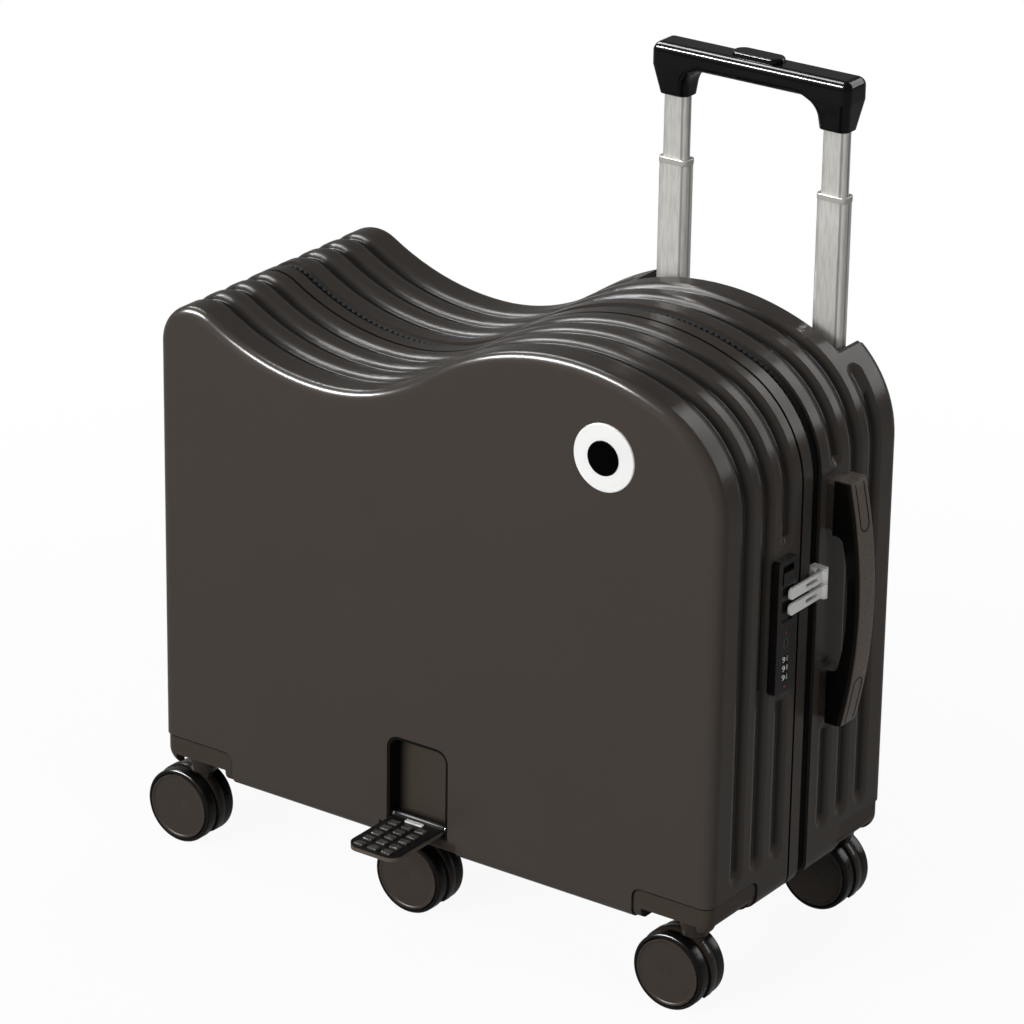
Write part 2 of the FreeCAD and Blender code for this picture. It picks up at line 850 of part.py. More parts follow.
def centre_mount(name, form, flip_y, label):
    """Seat of the middle caster: a slab set into the lower edge, with a boss for the stem."""
    slab = shared(name + "_slab", form, block(
        name + "_block",
        ("centre_x - mount_length / 2", "centre_x + mount_length / 2"),
        ("-half_depth", "mount_width - half_depth"),
        ("case_floor", "mount_top"), flip_y=flip_y))
    place = {"x": "centre_caster_x", "y": "centre_caster_y", "flip_y": flip_y}
    boss = rod(name + "_boss", "z", "boss_radius", ("arch_top", "stem_high + boss_cap"), **place)
    pocket = rod(name + "_pocket", "z", "crown_radius + crown_room", ("case_floor - overrun",
                                                                      "arch_top"), **place)
    bore = rod(name + "_bore", "z", "stem_radius + run_clear", ("case_floor", "stem_high + face_gap"),
               **place)
    node(less(name, fused(name + "_whole", slab, boss), pocket, bore), label)


# Casters

def caster(tag, x, y):
    """Swivel fork with its stem, a pair of tyres, and their hubs on one axle, at a swivel axis."""
    web = padded_body(f"{tag}_web", "XZ_Plane", [
        ("-fork_neck_half", "crown_low"), ("-caster_trail - fork_eye_radius", "wheel_radius"),
        ("-caster_trail", "wheel_radius - fork_eye_radius"),
        ("fork_eye_radius - caster_trail", "wheel_radius"), ("fork_neck_half", "crown_low"),
    ], "2 * web_half")
    eye = rod(f"{tag}_eye", "y", "fork_eye_radius", ("-web_half", "web_half"),
              "-caster_trail", z="wheel_radius")
    crown = rod(f"{tag}_crown", "z", "crown_radius", ("crown_low", "crown_high"))
    stem = rod(f"{tag}_stem", "z", "stem_radius", ("crown_low", "stem_high"))
    fork = fused(f"{tag}_fork_blank", web, eye, crown, stem, fork_fin(tag))
    hole = rod(f"{tag}_hole", "y", "axle_radius + run_clear", ("-wheel_width", "wheel_width"),
               "-caster_trail", z="wheel_radius")
    node(put(less(f"{tag}_fork", fork, hole), x, y), f"{tag}_fork")

    tyre = turned_body(f"{tag}_tyre", [
        ("hub_radius", "wheel_inside"), ("wheel_radius - tread_rounding", "wheel_inside"),
        ("wheel_radius", "wheel_inside + tread_rounding"),
        ("wheel_radius", "wheel_outside - tread_rounding"),
        ("wheel_radius - tread_rounding", "wheel_outside"), ("hub_radius", "wheel_outside")])
    hub = turned_body(f"{tag}_hub", [
        ("axle_radius", "wheel_inside"), ("hub_radius", "wheel_inside"),
        ("hub_radius", "wheel_outside + hub_dish / 2"), ("hub_radius - hub_rim",
                                                         "wheel_outside + hub_dish / 2"),
        ("hub_radius - hub_rim - hub_dish", "wheel_outside - hub_dish"),
        ("axle_radius", "wheel_outside - hub_dish")])
    axle = rod(f"{tag}_axle", "y", "axle_radius", ("hub_dish - wheel_outside",
                                                   "wheel_outside - hub_dish"))
    wheel_place = (f"({x}) - caster_trail", y, "wheel_radius")
    tyres = group(f"{tag}_tyres", tyre, mirrored(f"{tag}_tyre_far", tyre))
    node(put(tyres, *wheel_place), f"{tag}_tyres")
    hubs = group(f"{tag}_hubs", hub, mirrored(f"{tag}_hub_far", hub), axle)
    node(put(hubs, *wheel_place), f"{tag}_hubs")


def mirrored(name, source):
    """Copy of a solid on the other side of the XZ plane."""
    item = doc.addObject("Part::Mirroring", name)
    item.Source = source
    item.Normal = Vector(0, 1, 0)
    return item


def fork_fin(tag):
    """Flat mudguard between the wheels, from low behind the axle to above it in front."""
    disc = rod(f"{tag}_fin_disc", "y", "wheel_radius + fin_proud", ("-web_half", "web_half"),
               "-caster_trail", z="wheel_radius")
    reach = "wheel_radius * 2"
    low, high = "fin_low_angle * 1 deg", "fin_high_angle * 1 deg"
    keep = padded_body(f"{tag}_fin_keep", "XZ_Plane", [
        ("-caster_trail", "wheel_radius - fork_eye_radius"),
        (f"{reach} * cos({low}) - caster_trail", f"wheel_radius - {reach} * sin({low})"),
        (f"{reach} - caster_trail", f"wheel_radius + {reach}"),
        (f"-caster_trail - {reach}", f"wheel_radius + {reach}"),
        (f"-caster_trail - {reach} * cos({high})", f"wheel_radius + {reach} * sin({high})"),
    ], "2 * wheel_gap")
    return shared(f"{tag}_fin", disc, keep)


# Footrests

def footrest(tag, flip_y):
    """Fold-down step with its rubber pads, hinge pin and the well it folds into."""
    axis = {"y": "footrest_y", "z": "footrest_z", "x": "centre_x"}
    plate = block(
        f"{tag}_plate", ("centre_x - footrest_width / 2", "centre_x + footrest_width / 2"),
        ("footrest_y - footrest_reach", "footrest_y"),
        ("footrest_face - footrest_thickness", "footrest_face"), flip_y=flip_y)
    outer_y = (1 if flip_y else -1) * abs(at("footrest_y") - at("footrest_reach"))
    corners = rounded(f"{tag}_corners", plate, at("footrest_corner"),
                      lambda e: along("z")(e) and near(e, y=outer_y))
    span = ("centre_x - footrest_width / 2", "centre_x + footrest_width / 2")
    barrel = rod(f"{tag}_barrel", "x", "footrest_barrel_radius", span, y=axis["y"], z=axis["z"],
                 flip_y=flip_y)
    hole = rod(f"{tag}_hole", "x", "pin_radius + run_clear", ("-half_length", "half_length"),
               y=axis["y"], z=axis["z"], flip_y=flip_y)
    node(less(f"{tag}_step", fused(f"{tag}_blank", corners, barrel), hole), f"{tag}_footrest")

    pads = []
    for column in range(FOOTREST_PAD_COLUMNS):
        for row in range(FOOTREST_PAD_ROWS):
            middle = f"centre_x + ({column - (FOOTREST_PAD_COLUMNS - 1) / 2}) * pad_pitch_across"
            start = f"footrest_y - pad_first - {row} * pad_pitch_along"
            pads.append(block(
                f"{tag}_pad_{column}_{row}", (f"{middle} - pad_width / 2", f"{middle} + pad_width / 2"),
                (f"{start} - pad_length / 2", f"{start} + pad_length / 2"),
                ("footrest_face", "footrest_face + pad_height"), flip_y=flip_y))
    bar_y = "footrest_y - heel_bar_place"
    pads.append(block(
        f"{tag}_heel_bar", ("centre_x - heel_bar_width / 2", "centre_x + heel_bar_width / 2"),
        (f"{bar_y} - heel_bar_length / 2", f"{bar_y} + heel_bar_length / 2"),
        ("footrest_face", "footrest_face + pad_height"), flip_y=flip_y))
    node(group(f"{tag}_pad_set", *pads), f"{tag}_footrest_pads")

    outside = ("centre_x - well_width / 2 - well_wall", "centre_x + well_width / 2 + well_wall")
    pin = rod(f"{tag}_pin", "x", "pin_radius", outside, y=axis["y"], z=axis["z"], flip_y=flip_y)
    node(pin, f"{tag}_footrest_pin")
    tray = well_prism(f"{tag}_tray", "well_wall", ("well_recess - half_depth",
                                                   "well_depth + well_wall - half_depth"),
                      flip_y)
    room = well_prism(f"{tag}_room", "0", ("-half_depth - overrun", "well_depth - half_depth"), flip_y)
    node(less(f"{tag}_well", tray, room, hole), f"{tag}_footrest_well")


def well_prism(name, margin, y, flip_y):
    """Upright box round the footrest's recess, larger by margin, with rounded top corners."""
    base = block(name + "_box", (f"centre_x - well_width / 2 - {margin}",
                                 f"centre_x + well_width / 2 + {margin}"),
                 y, (f"well_bottom - {margin}", f"well_top + {margin}"), flip_y=flip_y)
    doc.recompute()
    top = at("well_top") + number_of(margin)
    return rounded(name, base, at("well_corner") + number_of(margin),
                   lambda e: along("y")(e) and near(e, z=top))


# Eye

def eye():
    """Round white disc set into the front panel, with a black pupil on it."""
    disc = rod("eye_blank", "y", "eye_radius", ("-eye_face", "eye_sink - half_depth"), "eye_x",
               z="eye_z")
    outer = -at("eye_face")
    node(rounded("eye_round", disc, at("eye_rounding"), lambda e: near(e, y=outer)), "eye_disc")
    pupil = rod("pupil_blank", "y", "pupil_radius", ("-eye_face - pupil_height", "-eye_face"), "eye_x",
                z="eye_z")
    top = outer - at("pupil_height")
    node(rounded("pupil_round", pupil, at("pupil_height") / 2, lambda e: near(e, y=top)), "eye_pupil")


# Lock and zip

def lock():
    """Combination lock on the head end of the front half: case with spindle, dials, release and key core."""
    flange = block("lock_flange_block", ("half_length", "lock_face"),
                   ("lock_y - lock_width / 2", "lock_y + lock_width / 2"), ("lock_bottom", "lock_top"))
    face = rounded("lock_flange_round", flange, at("lock_corner"), along("x"))
    inner = lock_window("lock_inner", "0", ("lock_back", "half_length"))
    last_dial = f"lock_bottom + dial_first + {len(DIAL_NAMES) - 1} * dial_pitch + dial_width / 2"
    spindle_z = ("lock_bottom + lock_flange", f"{last_dial} + lock_flange")
    spindle = rod("dial_spindle", "z", "spindle_radius", spindle_z, "dial_x", "lock_y")
    cuts = []
    for number, name in enumerate(DIAL_NAMES):
        middle = f"lock_bottom + dial_first + {number} * dial_pitch"
        cuts.append(rod(f"dial_room_{name}", "z", "dial_radius + dial_room",
                        (f"{middle} - dial_width / 2 - face_gap",
                         f"{middle} + dial_width / 2 + face_gap"),
                        "dial_x", "lock_y"))
        dial = rod(f"dial_{name}", "z", "dial_radius",
                   (f"{middle} - dial_width / 2", f"{middle} + dial_width / 2"), "dial_x", "lock_y")
        hole = rod(f"dial_hole_{name}", "z", "spindle_radius + run_clear",
                   (f"{middle} - dial_width", f"{middle} + dial_width"), "dial_x", "lock_y")
        node(less(f"dial_cut_{name}", dial, hole), f"lock_dial_{name}")
    cuts.append(rod("key_room", "x", "key_radius + run_clear", ("lock_face - key_length - face_gap",
                                                                "lock_face + overrun"),
                    y="lock_y", z="key_z"))
    button_y = ("lock_y - lock_button_width / 2", "lock_y + lock_button_width / 2")
    room_y = ("lock_y - lock_button_width / 2 - slide_gap",
              "lock_y + lock_button_width / 2 + slide_gap")
    cuts.append(block("lock_button_room", ("lock_face - lock_button_depth - slide_gap",
                                           "lock_face + overrun"),
                      room_y, ("lock_button_low - slide_gap",
                               "lock_button_high + lock_button_travel + slide_gap")))
    cuts.append(block("pull_seat", ("lock_face - seat_depth", "lock_face + overrun"), room_y,
                      ("lock_bottom + seat_rise", "lock_bottom + seat_rise + seat_height")))
    case = less("lock_case_cut", fused("lock_case_blank", face, inner), *cuts)
    node(fused("lock_case_whole", case, spindle), "lock_case")

    button = block("lock_button_block", ("lock_face - lock_button_depth",
                                         "lock_face + lock_button_proud"),
                   button_y, ("lock_button_low", "lock_button_high"))
    node(rounded("lock_button_round", button, at("lock_button_proud") * 2, along("x")), "lock_button")
    core = rod("key_core", "x", "key_radius", ("lock_face - key_length", "lock_face"), y="lock_y",
               z="key_z")
    keyway = block("keyway", ("lock_face - keyway_depth", "lock_face + overrun"),
                   ("lock_y - keyway_width / 2", "lock_y + keyway_width / 2"),
                   ("key_z - keyway_height / 2", "key_z + keyway_height / 2"))
    node(less("key_cylinder_cut", core, keyway), "key_cylinder")


def lock_window(name, gap, x):
    """Body of the lock behind its flange, larger by gap, which also cuts its window in the shell."""
    return block(name, x, (f"lock_y - lock_width / 2 + lock_flange - {gap}",
                           f"lock_y + lock_width / 2 - lock_flange + {gap}"),
                 (f"lock_bottom + lock_flange - {gap}", f"lock_top - lock_flange + {gap}"))


def zip_slider(tag, rise):
    """Slider on the zip with its bail, and the flat pull hung from it."""
    middle = f"lock_bottom + {rise}"
    height = (f"{middle} - slider_height / 2", f"{middle} + slider_height / 2")
    base = block(f"{tag}_slider_block", ("slider_foot", "slider_foot + slider_raise"),
                 ("zip_offset - slider_width / 2", "zip_offset + slider_width / 2"), height)
    soft = rounded(f"{tag}_slider_round", base, at("slider_rounding"), along("x"))
    pin = rod(f"{tag}_bail_pin", "z", "bail_pin_radius",
              (f"{middle} - pull_width / 2 - bail_pin_radius",
               f"{middle} + pull_width / 2 + bail_pin_radius"), "pull_x", "pull_y")
    ears = []
    for side in ("-", "+"):
        end = f"{middle} {side} (pull_width / 2 + slide_gap)"
        tip = f"{middle} {side} slider_height / 2"
        span = (tip, end) if side == "-" else (end, tip)
        foot = block(f"{tag}_ear_{'low' if side == '-' else 'high'}", ("slider_foot + slider_rounding",
                                                                       "pull_x"),
                     ("pull_y - bail_radius", "pull_y + bail_radius"), span)
        knuckle = rod(f"{tag}_knuckle_{'low' if side == '-' else 'high'}", "z", "bail_radius", span,
                      "pull_x", "pull_y")
        ears += [foot, knuckle]
    node(fused(f"{tag}_slider", soft, pin, *ears), f"{tag}_zip_slider")

    bar = block(f"{tag}_pull_bar", ("pull_low", "pull_low + pull_thickness"), ("pull_y - pull_reach",
                                                                               "pull_y"),
                (f"{middle} - pull_width / 2", f"{middle} + pull_width / 2"))
    eye_end = rod(f"{tag}_pull_eye", "z", "bail_radius", (f"{middle} - pull_width / 2",
                                                          f"{middle} + pull_width / 2"),
                  "pull_x", "pull_y")
    hole = rod(f"{tag}_pull_hole", "z", "bail_pin_radius + run_clear",
               (f"{middle} - pull_width", f"{middle} + pull_width"), "pull_x", "pull_y")
    slot = block(f"{tag}_pull_slot", ("pull_low - overrun", "pull_low + pull_thickness + overrun"),
                 ("pull_y - bail_radius - pull_slot_length * 1.5",
                  "pull_y - bail_radius - pull_slot_length / 2"),
                 (f"{middle} - pull_slot_width / 2", f"{middle} + pull_slot_width / 2"))
    tip_y = at("pull_y") - at("pull_reach")
    soft_bar = rounded(f"{tag}_pull_soft", bar, at("bail_radius"), lambda e: along("x")(e) and near(e,
                                                                                                    y=tip_y))
    node(less(f"{tag}_pull", fused(f"{tag}_pull_blank", soft_bar, eye_end), hole, slot),
         f"{tag}_zip_pull")


def zip_tapes():
    """Zip tape of each half, cut back round the fabric hinge at the tail end, and the hinge itself."""
    low, high = at("tape_sink"), at("tape_sink") + at("tape_thickness")
    parting = at("zip_parting") / 2
    front = ring("front_tape_ring", low, high, at("front_rim"), at("zip_offset") - parting)
    back = ring("back_tape_ring", low, high, at("zip_offset") + parting, at("back_rim"))
    starts = {"front": "zip_offset - hinge_bead_radius - face_gap", "back": "front_rim"}
    for side, item in (("front", front), ("back", back)):
        gap = block(f"{side}_tape_gap", ("-half_length - overrun",
                                         "2 * tape_thickness + tape_sink - half_length"),
                    (starts[side], "back_rim + overrun"), ("hinge_bottom", "hinge_top"))
        node(less(f"{side}_tape", item, gap), f"{side}_zip_tape")
    height = ("hinge_bottom + face_gap", "hinge_top - face_gap")
    bead = rod("hinge_bead", "z", "hinge_bead_radius", height, "hinge_x", "zip_offset")
    leaf = block("hinge_leaf", ("hinge_x - hinge_leaf_thickness / 2 + hinge_inset",
                                "hinge_x + hinge_leaf_thickness / 2 + hinge_inset"),
                 ("zip_offset", "back_rim"), height)
    node(fused("hinge_tape_whole", bead, leaf), "hinge_tape")


# Carry handle

def carry_handle():
    """Bowed grip on two sprung posts that stand on fixed bases."""
    bow = bow_body()
    bases, holes = [], []
    for end, low, high in (("low", "handle_bottom", "handle_bottom + handle_end_length"),
                           ("high", "handle_top - handle_end_length", "handle_top")):
        middle = f"({low} + {high}) / 2"
        base = block(f"handle_base_{end}", ("half_length", "handle_base_x"),
                     ("handle_y - handle_width / 2 + handle_base_margin",
                      "handle_y + handle_width / 2 - handle_base_margin"),
                     (f"{low} + handle_base_margin", f"{high} - handle_base_margin"))
        soft = rounded(f"handle_base_soft_{end}", base, at("handle_rounding"), along("x"))
        post = rod(f"handle_post_{end}", "x", "handle_post_radius", ("half_length",
                                                                     "handle_base_x + handle_post_length"),
                   y="handle_y", z=middle)
        bases.append(fused(f"handle_mount_{end}", soft, post))
        holes.append(rod(f"handle_hole_{end}", "x", "handle_post_radius + run_clear",
                         ("half_length", "handle_base_x + handle_post_length + face_gap"), y="handle_y",
                         z=middle))
    node(group("handle_mounts", *bases), "carry_handle_mounts")
    node(less("handle_bow_cut", bow, *holes), "carry_handle")


def bow_body():
    """Bow of the carry handle: two end blocks and an arched grip between them."""
    half_width = at("handle_width") / 2
    low, high, middle = at("handle_bottom"), at("handle_top"), at("handle_mid")
    end, thick = at("handle_end_length"), at("handle_thickness")
    base = at("handle_base_x") + at("face_gap")
    tip, crest = at("handle_end_x"), at("handle_bow_x")

    def point(x, z):
        return Vector(x, at("handle_y") - half_width, z)

    outer = Part.Arc(point(tip, low), point(crest, middle), point(tip, high))
    inner = Part.Arc(point(tip - thick / 2, high - end), point(crest - thick, middle),
                     point(tip - thick / 2, low + end))
    edges = [outer.toShape()]
    corners = [point(tip, high), point(base, high), point(base, high - end), point(tip - thick / 2,
                                                                                   high - end)]
    edges += [Part.LineSegment(a, b).toShape() for a, b in zip(corners, corners[1:])]
    edges.append(inner.toShape())
    corners = [point(tip - thick / 2, low + end), point(base, low + end), point(base, low), point(tip,
                                                                                                  low)]
    edges += [Part.LineSegment(a, b).toShape() for a, b in zip(corners, corners[1:])]
    solid = Part.Face(Part.Wire(edges)).extrude(Vector(0, at("handle_width"), 0))
    hollow = [edge for edge in solid.Edges if along("y")(edge)
              and (near(edge, x=tip - thick / 2, z=low + end) or near(edge, x=tip - thick / 2,
                                                                      z=high - end))]
    solid = solid.makeFillet(at("handle_inner_radius"), hollow)
    flat = [edge for edge in solid.Edges if edge.BoundBox.YLength < TOUCH]
    soft = [edge for edge in flat if edge.BoundBox.XMax > tip and edge.BoundBox.XMin > tip - TOUCH]
    return feature("handle_bow", solid.makeFillet(at("handle_rounding"), soft))


# Pull handle

def rounded_bar(name, x, width, depth, z, y="trolley_y", corner="tube_corner"):
    """Upright bar of rounded rectangular section about an x."""
    base = block(name + "_bar", (f"{x} - ({width}) / 2", f"{x} + ({width}) / 2"),
                 (f"{y} - ({depth}) / 2", f"{y} + ({depth}) / 2"), z)
    return rounded(name, base, number_of(corner), along("z"))


def tube_pair(label, stage, z):
    """Two tubes of one stage as one node."""
    tubes = []
    for side in ("left", "right"):
        name = f"{stage}_tube_{side}"
        x = f"tube_{side}"
        outer = rounded_bar(name + "_outer", x, f"{stage}_tube_width", f"{stage}_tube_depth", z)
        inner = rounded_bar(name + "_inner", x, f"{stage}_tube_width - 2 * tube_wall",
                            f"{stage}_tube_depth - 2 * tube_wall", (f"{z[0]} - overrun",
                                                                    f"{z[1]} + overrun"),
                            corner="tube_corner - tube_wall")
        tubes.append(less(name, outer, inner))
    node(group(f"{stage}_tube_pair", *tubes), label)


def trolley():
    """Telescopic pull handle: fixed outer tubes, two sliding stages, grip, release button and yoke."""
    tube_pair("outer_tubes", "outer", ("foot_low + foot_height - foot_socket",
                                       "well_floor - trolley_well_wall"))
    tube_pair("middle_tubes", "middle", ("collar_low - middle_tube_length", "collar_low"))
    tube_pair("inner_tubes", "inner", ("socket_top - inner_tube_length", "socket_top"))
    collars = []
    for side in ("left", "right"):
        x = f"tube_{side}"
        ring_bar = rounded_bar(f"collar_{side}_outer", x, "middle_tube_width + 2 * collar_wall",
                               "middle_tube_depth + 2 * collar_wall", ("collar_low", "collar_top"),
                               corner="tube_corner + collar_wall")
        hole = rounded_bar(f"collar_{side}_hole", x, "inner_tube_width + 2 * slide_gap",
                           "inner_tube_depth + 2 * slide_gap",
                           ("collar_low - overrun", "collar_top + overrun"),
                           corner="tube_corner + slide_gap")
        collars.append(less(f"collar_{side}", ring_bar, hole))
    node(group("collar_pair", *collars), "tube_collars")
    trolley_grip()
    release()
    trolley_well()
    foot = block("foot_block", ("tube_left - outer_tube_width / 2 - foot_margin",
                                "tube_right + outer_tube_width / 2 + foot_margin"),
                 ("trolley_y - outer_tube_depth / 2 - foot_margin", "half_depth - shell_wall"),
                 ("foot_low", "foot_high"))
    sockets = [rounded_bar(f"foot_socket_{side}", f"tube_{side}", "outer_tube_width",
                           "outer_tube_depth",
                           ("foot_high - foot_socket", "foot_high + overrun")) for side in ("left",
                                                                                            "right")]
    node(less("foot_cut", foot, *sockets), "trolley_foot")


def trolley_grip():
    """Handlebar with two legs that take the inner tubes, hollow for the release yoke."""
    leg_out = "(grip_leg_low / 2)"
    body = padded_body("grip_body", "XZ_Plane", [
        ("grip_left", "grip_top"),
        ("grip_left", "grip_under"),
        (f"tube_left - {leg_out}", "grip_low"),
        (f"tube_left + {leg_out}", "grip_low"),
        ("grip_left + grip_leg_high", "grip_under"),
        ("grip_right - grip_leg_high", "grip_under"),
        (f"tube_right - {leg_out}", "grip_low"),
        (f"tube_right + {leg_out}", "grip_low"),
        ("grip_right", "grip_under"),
        ("grip_right", "grip_top"),
    ], "grip_depth")
    put(body, y="trolley_y")
    sides = padded_body("grip_sides", "YZ_Plane", [
        ("-grip_crown_half", "grip_top"), ("-grip_depth / 2", "grip_top - grip_crown"),
        ("-grip_depth / 2", "grip_under"), ("-grip_leg_depth / 2", "grip_low"),
        ("grip_leg_depth / 2", "grip_low"), ("grip_depth / 2", "grip_under"),
        ("grip_depth / 2", "grip_top - grip_crown"), ("grip_crown_half", "grip_top"),
    ], "grip_length + 2 * overrun")
    put(sides, "trolley_x", "trolley_y")
    bare = shared("grip_bare", body, sides)
    under, low = at("grip_under"), at("grip_low")
    inner = (at("grip_left") + at("grip_leg_high"), at("grip_right") - at("grip_leg_high"))
    arched = rounded("grip_arched", bare, at("grip_inner_radius"),
                     lambda e: along("y")(e) and (near(e, x=inner[0], z=under) or near(e, x=inner[1],
                                                                                       z=under)))
    soft = rounded("grip_soft", arched, at("grip_rounding"), lambda e: e.BoundBox.ZMax > low + TOUCH)
    sockets = [rounded_bar(f"grip_socket_{side}", f"tube_{side}", "inner_tube_width + 2 * run_clear",
                           "inner_tube_depth + 2 * run_clear", ("grip_low - overrun", "socket_top"),
                           corner="tube_corner + run_clear") for side in ("left", "right")]
    room = rounded_bar("button_room", "trolley_x", "button_length + 2 * button_gap",
                       "button_width + 2 * button_gap",
                       ("button_floor - button_travel - button_gap", "grip_top + overrun"),
                       corner="button_width / 2")
    yoke_gap = "(yoke_bar / 2 + button_gap)"
    channel = block("yoke_channel", (f"tube_left - {yoke_gap}", f"tube_right + {yoke_gap}"),
                    (f"trolley_y - {yoke_gap}", f"trolley_y + {yoke_gap}"),
                    ("yoke_low - button_travel - button_gap", "button_floor + button_gap"))
    bores = [rod(f"yoke_bore_{side}", "z", "yoke_rod_radius + button_gap", ("socket_top - overrun",
                                                                            "button_floor"),
                 f"tube_{side}", "trolley_y") for side in ("left", "right")]
    node(less("grip_cut", soft, *sockets, room, channel, *bores), "trolley_grip")


def release():
    """Push button in the grip and the yoke that carries its travel down the inner tubes."""
    button = rounded_bar("button_bar", "trolley_x", "button_length", "button_width",
                         ("button_floor", "button_floor + button_height"),
                         corner="button_width / 2 - button_gap")
    top = at("button_floor") + at("button_height")
    node(rounded("button_soft", button, at("button_proud") / 2, lambda e: near(e, z=top)),
         "trolley_button")
    bar = block("yoke_bar_block", ("tube_left - yoke_bar / 2", "tube_right + yoke_bar / 2"),
                ("trolley_y - yoke_bar / 2", "trolley_y + yoke_bar / 2"), ("yoke_low", "button_floor"))
    rods = [rod(f"yoke_rod_{side}", "z", "yoke_rod_radius", ("yoke_low - yoke_rod_length",
                                                             "button_floor"),
                f"tube_{side}", "trolley_y") for side in ("left", "right")]
    node(fused("yoke", bar, *rods), "release_yoke")


def trolley_well():
    """Tray in the back half's top edge that the grip folds into, with guides for the middle tubes."""
    outside = block("trolley_well_block", ("well_left", "well_right"), ("well_front",
                                                                        "half_depth + overrun"),
                    ("well_floor - trolley_well_wall", "head_top"))
    room = block("trolley_well_room", ("well_left + trolley_well_wall",
                                       "well_right - trolley_well_wall"),
                 ("well_front + trolley_well_wall", "half_depth + 2 * overrun"), ("well_floor",
                                                                                  "head_top + overrun"))
    holes = [rounded_bar(f"well_hole_{side}", f"tube_{side}", "middle_tube_width + 2 * slide_gap",
                         "middle_tube_depth + 2 * slide_gap", ("well_floor - 2 * overrun",
                                                               "well_floor + overrun"),
                         corner="tube_corner + slide_gap") for side in ("left", "right")]
    tray = shared("trolley_well_trim", outside, back_inset)
    node(less("trolley_well_cut", tray, room, *holes), "trolley_well")


# Build

front_form = shell_form("front_form", -1)
back_form = shell_form("back_form", 1)
front_inset = inset_form("front_inset", -1)
back_inset = inset_form("back_inset", 1)

shell_cuts = {FRONT: [], BACK: []}
for half, tag, form in ((FRONT, "front", front_inset), (BACK, "back", back_inset)):
    guards = []
    for flip_x, end in ((True, "tail"), (False, "head")):
        guards.append(corner_guard(f"{tag}_{end}_guard", form, flip_x, half))
        shell_cuts[half].append(guard_block(f"{tag}_{end}_seat", flip_x, half, "seam_gap"))
        x = "-caster_x" if flip_x else "caster_x"
        caster(f"{tag}_{end}_caster", x, "-(caster_y)" if half else "caster_y")
    node(group(f"{tag}_guards", *guards), f"{tag}_corner_guards")
    centre_mount(f"{tag}_mount", form, half, f"{tag}_centre_mount")
    caster(f"{tag}_centre_caster", "centre_caster_x",
           "-(centre_caster_y)" if half else "centre_caster_y")
    shell_cuts[half].append(block(
        f"{tag}_mount_seat", ("centre_x - mount_length / 2 - seam_gap",
                              "centre_x + mount_length / 2 + seam_gap"),
        ("-half_depth - overrun", "mount_width - half_depth + seam_gap"),
        ("case_floor - overrun", "mount_top + seam_gap"), flip_y=half))
    footrest(tag, half)
    shell_cuts[half].append(well_prism(f"{tag}_well_seat", "(well_wall + seam_gap)",
                                       ("-half_depth - overrun", "shell_wall + overrun - half_depth"),
                                       half))
eye()
shell_cuts[FRONT].append(rod("eye_seat", "y", "eye_radius + run_clear",
                             ("-half_depth - overrun", "eye_sink - half_depth"), "eye_x", z="eye_z"))
shell_cuts[FRONT].append(lock_window("lock_window_cut", "seam_gap", ("lock_back",
                                                                     "half_length + overrun")))
shell_cuts[BACK].append(block("grip_recess", ("well_left - seam_gap", "well_right + seam_gap"),
                              ("well_front - seam_gap", "half_depth + overrun"),
                              ("well_floor - trolley_well_wall - seam_gap", "head_top + overrun")))
doc.recompute()
for half, tag, form in ((FRONT, "front", front_form), (BACK, "back", back_form)):
    opened = form.Shape.cut([tool.Shape for tool in shell_cuts[half]])
    node(feature(f"{tag}_shell_opened", opened), f"{tag}_shell")

lock()
zip_slider("upper", "upper_slider_rise")
zip_slider("lower", "lower_slider_rise")
zip_tapes()
carry_handle()
trolley()

doc.recompute()
failed = [item.Label for item in doc.Objects if {"Invalid", "Error"} & set(item.State)]
if failed:
    raise RuntimeError(f"objects that did not build: {failed}")
for label, item in nodes.items():
    if item.Shape.isNull() or not item.Shape.isValid() or not item.Shape.Solids:
        raise RuntimeError(f"{label} has no valid solid")

os.makedirs("parts", exist_ok=True)
for label, item in nodes.items():
    item.Shape.exportStep(f"parts/{label}.step")
print(len(nodes), "nodes written")
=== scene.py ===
import json
import logging
import math
from dataclasses import dataclass, field
from enum import Enum
from typing import ClassVar, Optional, Sequence, Union

import bmesh
import bpy
from mathutils import Matrix, Vector


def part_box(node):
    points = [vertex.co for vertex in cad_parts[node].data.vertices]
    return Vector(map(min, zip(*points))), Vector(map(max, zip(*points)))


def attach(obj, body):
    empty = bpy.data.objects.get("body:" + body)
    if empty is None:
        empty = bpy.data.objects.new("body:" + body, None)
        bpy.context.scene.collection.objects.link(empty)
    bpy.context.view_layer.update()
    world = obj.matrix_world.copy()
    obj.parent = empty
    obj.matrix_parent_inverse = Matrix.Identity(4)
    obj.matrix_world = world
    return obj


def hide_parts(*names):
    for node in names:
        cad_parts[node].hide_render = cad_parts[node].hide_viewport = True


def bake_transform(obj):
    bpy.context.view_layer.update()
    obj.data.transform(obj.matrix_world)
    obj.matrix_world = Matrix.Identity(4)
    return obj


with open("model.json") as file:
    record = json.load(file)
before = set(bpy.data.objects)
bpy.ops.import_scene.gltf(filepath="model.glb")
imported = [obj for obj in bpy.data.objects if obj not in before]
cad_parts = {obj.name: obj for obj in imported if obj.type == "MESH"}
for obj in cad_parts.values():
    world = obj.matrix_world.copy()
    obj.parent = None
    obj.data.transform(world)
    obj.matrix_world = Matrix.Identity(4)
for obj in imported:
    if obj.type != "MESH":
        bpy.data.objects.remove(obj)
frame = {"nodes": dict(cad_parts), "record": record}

log = logging.getLogger("ride_on_suitcase")

Colour = tuple[float, float, float]
Number = Union[float, "Wire"]

MERGE_DISTANCE = 1e-6
SHARP_ANGLE = math.radians(30)
WHITE = (1.0, 1.0, 1.0, 1.0)


